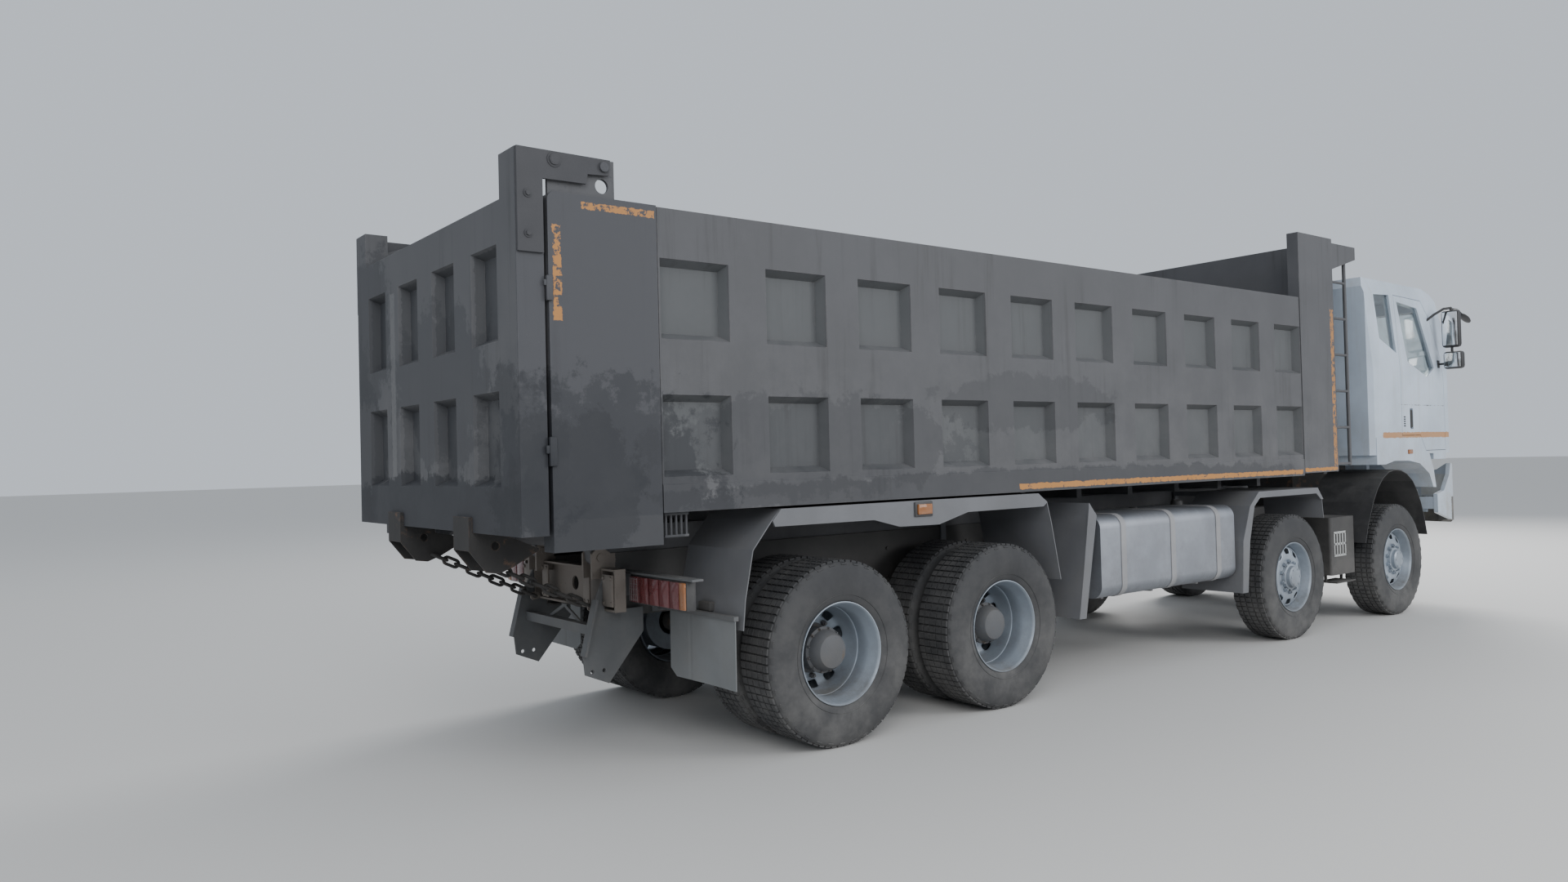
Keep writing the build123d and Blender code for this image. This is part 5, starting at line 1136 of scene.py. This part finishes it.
class TRUCK_OT_reservoirs(bpy.types.Operator):
    """Air reservoirs with domed ends on their carriers, and the fuel tank's cap and gauge"""
    bl_idname = "truck.reservoirs"
    bl_label = "Reservoirs"

    def execute(self, context):
        bm = bmesh.new()
        dome = [(0.001, 0.0), (0.006, 0.045), (0.018, 0.085), (0.036, 0.112), (0.058, 0.126), (0.085, 0.1305)]
        profile = dome + [(AIR_TANK_LENGTH - y, r) for y, r in reversed(dome)]
        band = [(0.0, 0.129), (0.0, 0.1318), (0.03, 0.1318), (0.03, 0.129)]
        for low in (2.50, 2.98):
            for y in (0.72, 1.01):
                for shape, start in ((profile, low), (band, low + 0.105), (band, low + 0.295)):
                    turned(bm, shape, 40, Matrix.Translation(at(start, y, AIR_TANK_Z)) @ LENGTHWISE)
                bars(bm, [[(low + 0.215, y, 0.763), (low + 0.215, y, 0.78)]], 0.012)
            for x in (low + 0.10, low + 0.29):
                blocks(bm, [((x, x + 0.04), (RAIL_FACE, 1.099), (0.746, 0.771)),
                            ((x, x + 0.04), (RAIL_FACE, 0.445), (0.746, 0.999))], 0.004)
        piece("air_tanks", bm, "chassis", "chassis", ["air_reservoirs"])
        bm = bmesh.new()
        cap = [(1.199, 0.0), (1.199, 0.062), (1.206, 0.062), (1.206, 0.050), (1.236, 0.047), (1.241, 0.040),
               (1.241, 0.0)]
        turned(bm, cap, 36, Matrix.Translation(at(4.06, TANK_Y, 0)) @ UPRIGHT)
        bars(bm, [[(4.015, TANK_Y, 1.246), (4.105, TANK_Y, 1.246)]], 0.006)
        gauge = [(1.199, 0.0), (1.199, 0.034), (1.208, 0.034), (1.212, 0.022), (1.212, 0.0)]
        turned(bm, gauge, 28, Matrix.Translation(at(3.45, TANK_Y, 0)) @ UPRIGHT)
        piece("tank_cap", bm, "black", "chassis")
        return {"FINISHED"}


class TRUCK_OT_fittings(bpy.types.Operator):
    """Small plates, cleats, pins and bolts of the body, the tail and the frame"""
    bl_idname = "truck.fittings"
    bl_label = "Fittings"

    def execute(self, context):
        self.body_cleats()
        self.gate_bolts()
        self.frame_fittings()
        self.slotted_plate()
        return {"FINISHED"}

    def body_cleats(self):
        """Cleats on the tail posts, small slotted plates, strips at the floor's front corners, and the gate's pins."""
        bm = bmesh.new()
        for sign in SIDES.values():
            cleats = [((-1.818, -1.786), (1.246, 1.268), (2.45, 2.57)),
                      ((-1.830, -1.800), (1.250, 1.264), (2.52, 2.55)),
                      ((-1.818, -1.780), (1.246, 1.268), (1.66, 1.80)),
                      ((-1.835, -1.800), (1.250, 1.264), (1.72, 1.76))]
            blocks(bm, cleats, 0.005, sign)
            blocks(bm, [((-1.154 + 0.031 * i, -1.142 + 0.031 * i), (1.186, 1.198), (1.285, 1.395)) for i in range(5)],
                   0.002, sign)
            blocks(bm, [((-1.158, -1.010), (1.184, 1.200), z) for z in ((1.276, 1.290), (1.390, 1.409))], 0.003, sign)
            blocks(bm, [((5.300, 5.885), (1.118, 1.1495), (1.4235, 1.4315))], 0.001, sign)
            pin = [(1.268, 0.0), (1.268, 0.026), (1.276, 0.024), (1.276, 0.0)]
            lathe(bm, pin, 20, tuple(at(-1.5, 0, 3.128)), sign=sign)
        piece("body_cleats", bm, "body", "dump_body")

    def gate_bolts(self):
        """Washers and nuts on the outside of the tailgate's arms."""
        bm = bmesh.new()
        for sign in SIDES.values():
            for x, z, r in ((-1.765, 3.128, 0.036), (-1.905, 2.95, 0.02), (-1.905, 2.76, 0.02)):
                washer = [(1.262, 0.0), (1.262, r), (1.2665, r), (1.2665, 0.0)]
                lathe(bm, washer, 24, tuple(at(x, 0, z)), sign=sign)
                hex_nut(bm, tuple(at(x, sign * 1.266, z)), (0, sign, 0), r * 0.66, 0.009)
        piece("gate_bolts", bm, "bracket", "tailgate")

    def frame_fittings(self):
        """Bolted plates on the tail beam, and the rows of bolts along the rails."""
        bm = bmesh.new()
        for sign in SIDES.values():
            blocks(bm, [((-1.142, -1.131), (0.235, 0.315), (0.85, 1.05)),
                        ((-1.142, -1.131), (0.475, 0.59), (0.86, 1.04))], 0.003, sign)
            blocks(bm, [((-0.735, -0.605), (0.84, 0.955), (0.831, 0.880))], 0.006, sign)
            for ys, zs in (((0.25, 0.30), (0.87, 1.03)), ((0.49, 0.575), (0.88, 1.02))):
                for z in zs:
                    for y in ys:
                        hex_nut(bm, tuple(at(-1.142, sign * y, z)), (-1, 0, 0), 0.011, 0.007)
            for x in (-0.4, 0.3, 1.1, 1.9, 2.7, 3.5, 4.3, 5.1, 5.8):
                for z in (0.83, 1.03):
                    hex_nut(bm, tuple(at(x, sign * RAIL_FACE, z)), (0, sign, 0), 0.012, 0.009)
        piece("frame_fittings", bm, "chassis", "chassis")

    def slotted_plate(self):
        """The pale plate of upright bars beside the air intake."""
        uprights = [((6.01 + 0.052 * i, 6.026 + 0.052 * i), (0.65, 0.86)) for i in range(5)]
        levels = [((6.01, 6.234), (low, low + 0.02)) for low in (0.64, 0.745, 0.85)]
        block_piece("slotted_plate", "pale", "chassis", "chassis_paint", SIDES["right"],
                    ([(x, (1.1505, 1.156), z) for x, z in uprights + levels], 0.002))


# Surfaces of what stays as the frame has it

class TRUCK_OT_paint(bpy.types.Operator):
    """Gives every shown node of the frame its finish"""
    bl_idname = "truck.paint"
    bl_label = "Paint"

    def execute(self, context):
        for surface, names in NODE_FINISH.items():
            for name in names:
                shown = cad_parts[name]
                shown.data.materials.clear()
                shown.data.materials.append(SURFACES[surface])
        return {"FINISHED"}


# Stage

# The camera, solved from the photograph: its place counted from the rearmost axle, its turns and its lens.
EYE = (-4.0674, -6.0128, 1.6667)
YAW, PITCH, ROLL = 0.9159, 0.0167, -0.0252
FOCAL_PIXELS, PHOTO_WIDTH, SENSOR = 1328.4, 1920.0, 36.0
CAMERA_REACH = 500
STUDIO_FLOOR = 120.0


class TRUCK_OT_stage(bpy.types.Operator):
    """Pale floor, soft studio light and the camera at the photograph's angle"""
    bl_idname = "truck.stage"
    bl_label = "Stage"

    def execute(self, context):
        scene = context.scene
        self.camera(scene)
        self.floor(scene)
        world = bpy.data.worlds.new("studio_air")
        world.use_nodes = True
        back = world.node_tree.nodes["Background"]
        back.inputs["Color"].default_value = (0.78, 0.84, 0.92, 1)
        back.inputs["Strength"].default_value = 0.82
        scene.world = world
        self.lamp(scene, "key_panel", (-9.0, -9.5, 7.0), (0, 0, 1.2), 7.0, 650)
        self.lamp(scene, "rim_panel", (13.0, 6.0, 10.0), (0, 0, 1.5), 8.0, 2200)
        self.lamp(scene, "side_panel", (6.0, -13.0, 6.0), (1, 0, 1.2), 7.0, 950)
        return {"FINISHED"}

    def floor(self, scene):
        """A wide plane at the tyres' feet."""
        bm = bmesh.new()
        bmesh.ops.create_grid(bm, x_segments=2, y_segments=2, size=STUDIO_FLOOR)
        mesh = bpy.data.meshes.new("studio_floor")
        bm.to_mesh(mesh)
        bm.free()
        made = bpy.data.objects.new("studio_floor", mesh)
        scene.collection.objects.link(made)
        mesh.materials.append(new_material("pale_floor", Base_Color=(0.62, 0.61, 0.59, 1), Roughness=0.85)[0])

    def camera(self, scene):
        """The photograph's camera, its axes built from how it was turned."""
        forward = Vector((math.cos(PITCH) * math.cos(YAW), math.cos(PITCH) * math.sin(YAW), math.sin(PITCH)))
        level = Vector((math.sin(YAW), -math.cos(YAW), 0))
        upright = level.cross(forward)
        right = level * math.cos(ROLL) + upright * math.sin(ROLL)
        up = upright * math.cos(ROLL) - level * math.sin(ROLL)
        lens = bpy.data.cameras.new("photo_camera")
        lens.sensor_width = SENSOR
        lens.lens = FOCAL_PIXELS / PHOTO_WIDTH * SENSOR
        lens.clip_end = CAMERA_REACH
        made = bpy.data.objects.new("photo_camera", lens)
        turn = Matrix((right, up, -forward)).transposed()
        made.matrix_world = Matrix.Translation(at(*EYE)) @ turn.to_4x4()
        scene.collection.objects.link(made)
        scene.camera = made

    def lamp(self, scene, name, spot, target, size, power):
        """A square panel of light that faces a point."""
        light = bpy.data.lights.new(name, "AREA")
        light.size = size
        light.energy = power
        made = bpy.data.objects.new(name, light)
        way = Vector(target) - Vector(spot)
        made.matrix_world = Matrix.Translation(spot) @ way.to_track_quat("-Z", "Y").to_matrix().to_4x4()
        scene.collection.objects.link(made)


# Settings and panel

def paint_property(name, description, default):
    """One colour of the truck that the panel offers."""
    return FloatVectorProperty(name=name, description=description, size=3, subtype="COLOR", default=default,
                               min=0, max=1)


class TruckPaint(bpy.types.PropertyGroup):
    """The truck's paints"""
    body: paint_property("Load body", "Paint of the load body and tailgate", (0.071, 0.072, 0.078))
    cab: paint_property("Cab", "Paint of the cab and bumper", (0.50, 0.58, 0.68))
    fender: paint_property("Fenders", "Sheet of the fenders", (0.135, 0.139, 0.15))
    rim: paint_property("Rims", "Paint of the wheels", (0.34, 0.39, 0.45))
    tape: paint_property("Marks", "Warning tape and the cab's stripe", (0.44, 0.2, 0.055))


class TruckSizes(bpy.types.PropertyGroup):
    """Measures of the tyres and chains"""
    tread_depth: FloatProperty(name="Tread depth", description="Height of the tread blocks", default=0.012,
                               min=0.002, max=0.02, unit="LENGTH")
    tread_pitches: IntProperty(name="Tread pitches", description="Blocks round one rib of the tread", default=72,
                               min=24, max=120)
    chain_wire: FloatProperty(name="Chain wire", description="Thickness of a link's wire", default=0.019,
                              min=0.006, max=0.024, unit="LENGTH")


OPERATORS = [TRUCK_OT_paint, TRUCK_OT_tyres, TRUCK_OT_wheels, TRUCK_OT_chains, TRUCK_OT_lamps, TRUCK_OT_flaps,
             TRUCK_OT_cab_trim, TRUCK_OT_mirrors, TRUCK_OT_inside, TRUCK_OT_hoist, TRUCK_OT_springs,
             TRUCK_OT_reservoirs, TRUCK_OT_fittings, TRUCK_OT_stage]


class TRUCK_PT_panel(bpy.types.Panel):
    """Lists the truck's pieces"""
    bl_idname = "TRUCK_PT_panel"
    bl_label = "Dump truck"
    bl_space_type = "VIEW_3D"
    bl_region_type = "UI"
    bl_category = "Truck"

    def draw(self, context):
        for owner in (context.scene.truck_paint, context.scene.truck_sizes):
            for name in owner.__annotations__:
                self.layout.prop(owner, name)
        for operator in OPERATORS:
            self.layout.operator(operator.bl_idname)


CLASSES = [TruckPaint, TruckSizes, *OPERATORS, TRUCK_PT_panel]


def register():
    for cls in CLASSES:
        bpy.utils.register_class(cls)
    bpy.types.Scene.truck_paint = PointerProperty(type=TruckPaint)
    bpy.types.Scene.truck_sizes = PointerProperty(type=TruckSizes)


def unregister():
    del bpy.types.Scene.truck_sizes
    del bpy.types.Scene.truck_paint
    for cls in reversed(CLASSES):
        bpy.utils.unregister_class(cls)


def main():
    register()
    SURFACES.update(finishes())
    for operator in OPERATORS:
        family, action = operator.bl_idname.split(".")
        getattr(getattr(bpy.ops, family), action)()


if __name__ == "__main__":
    main()
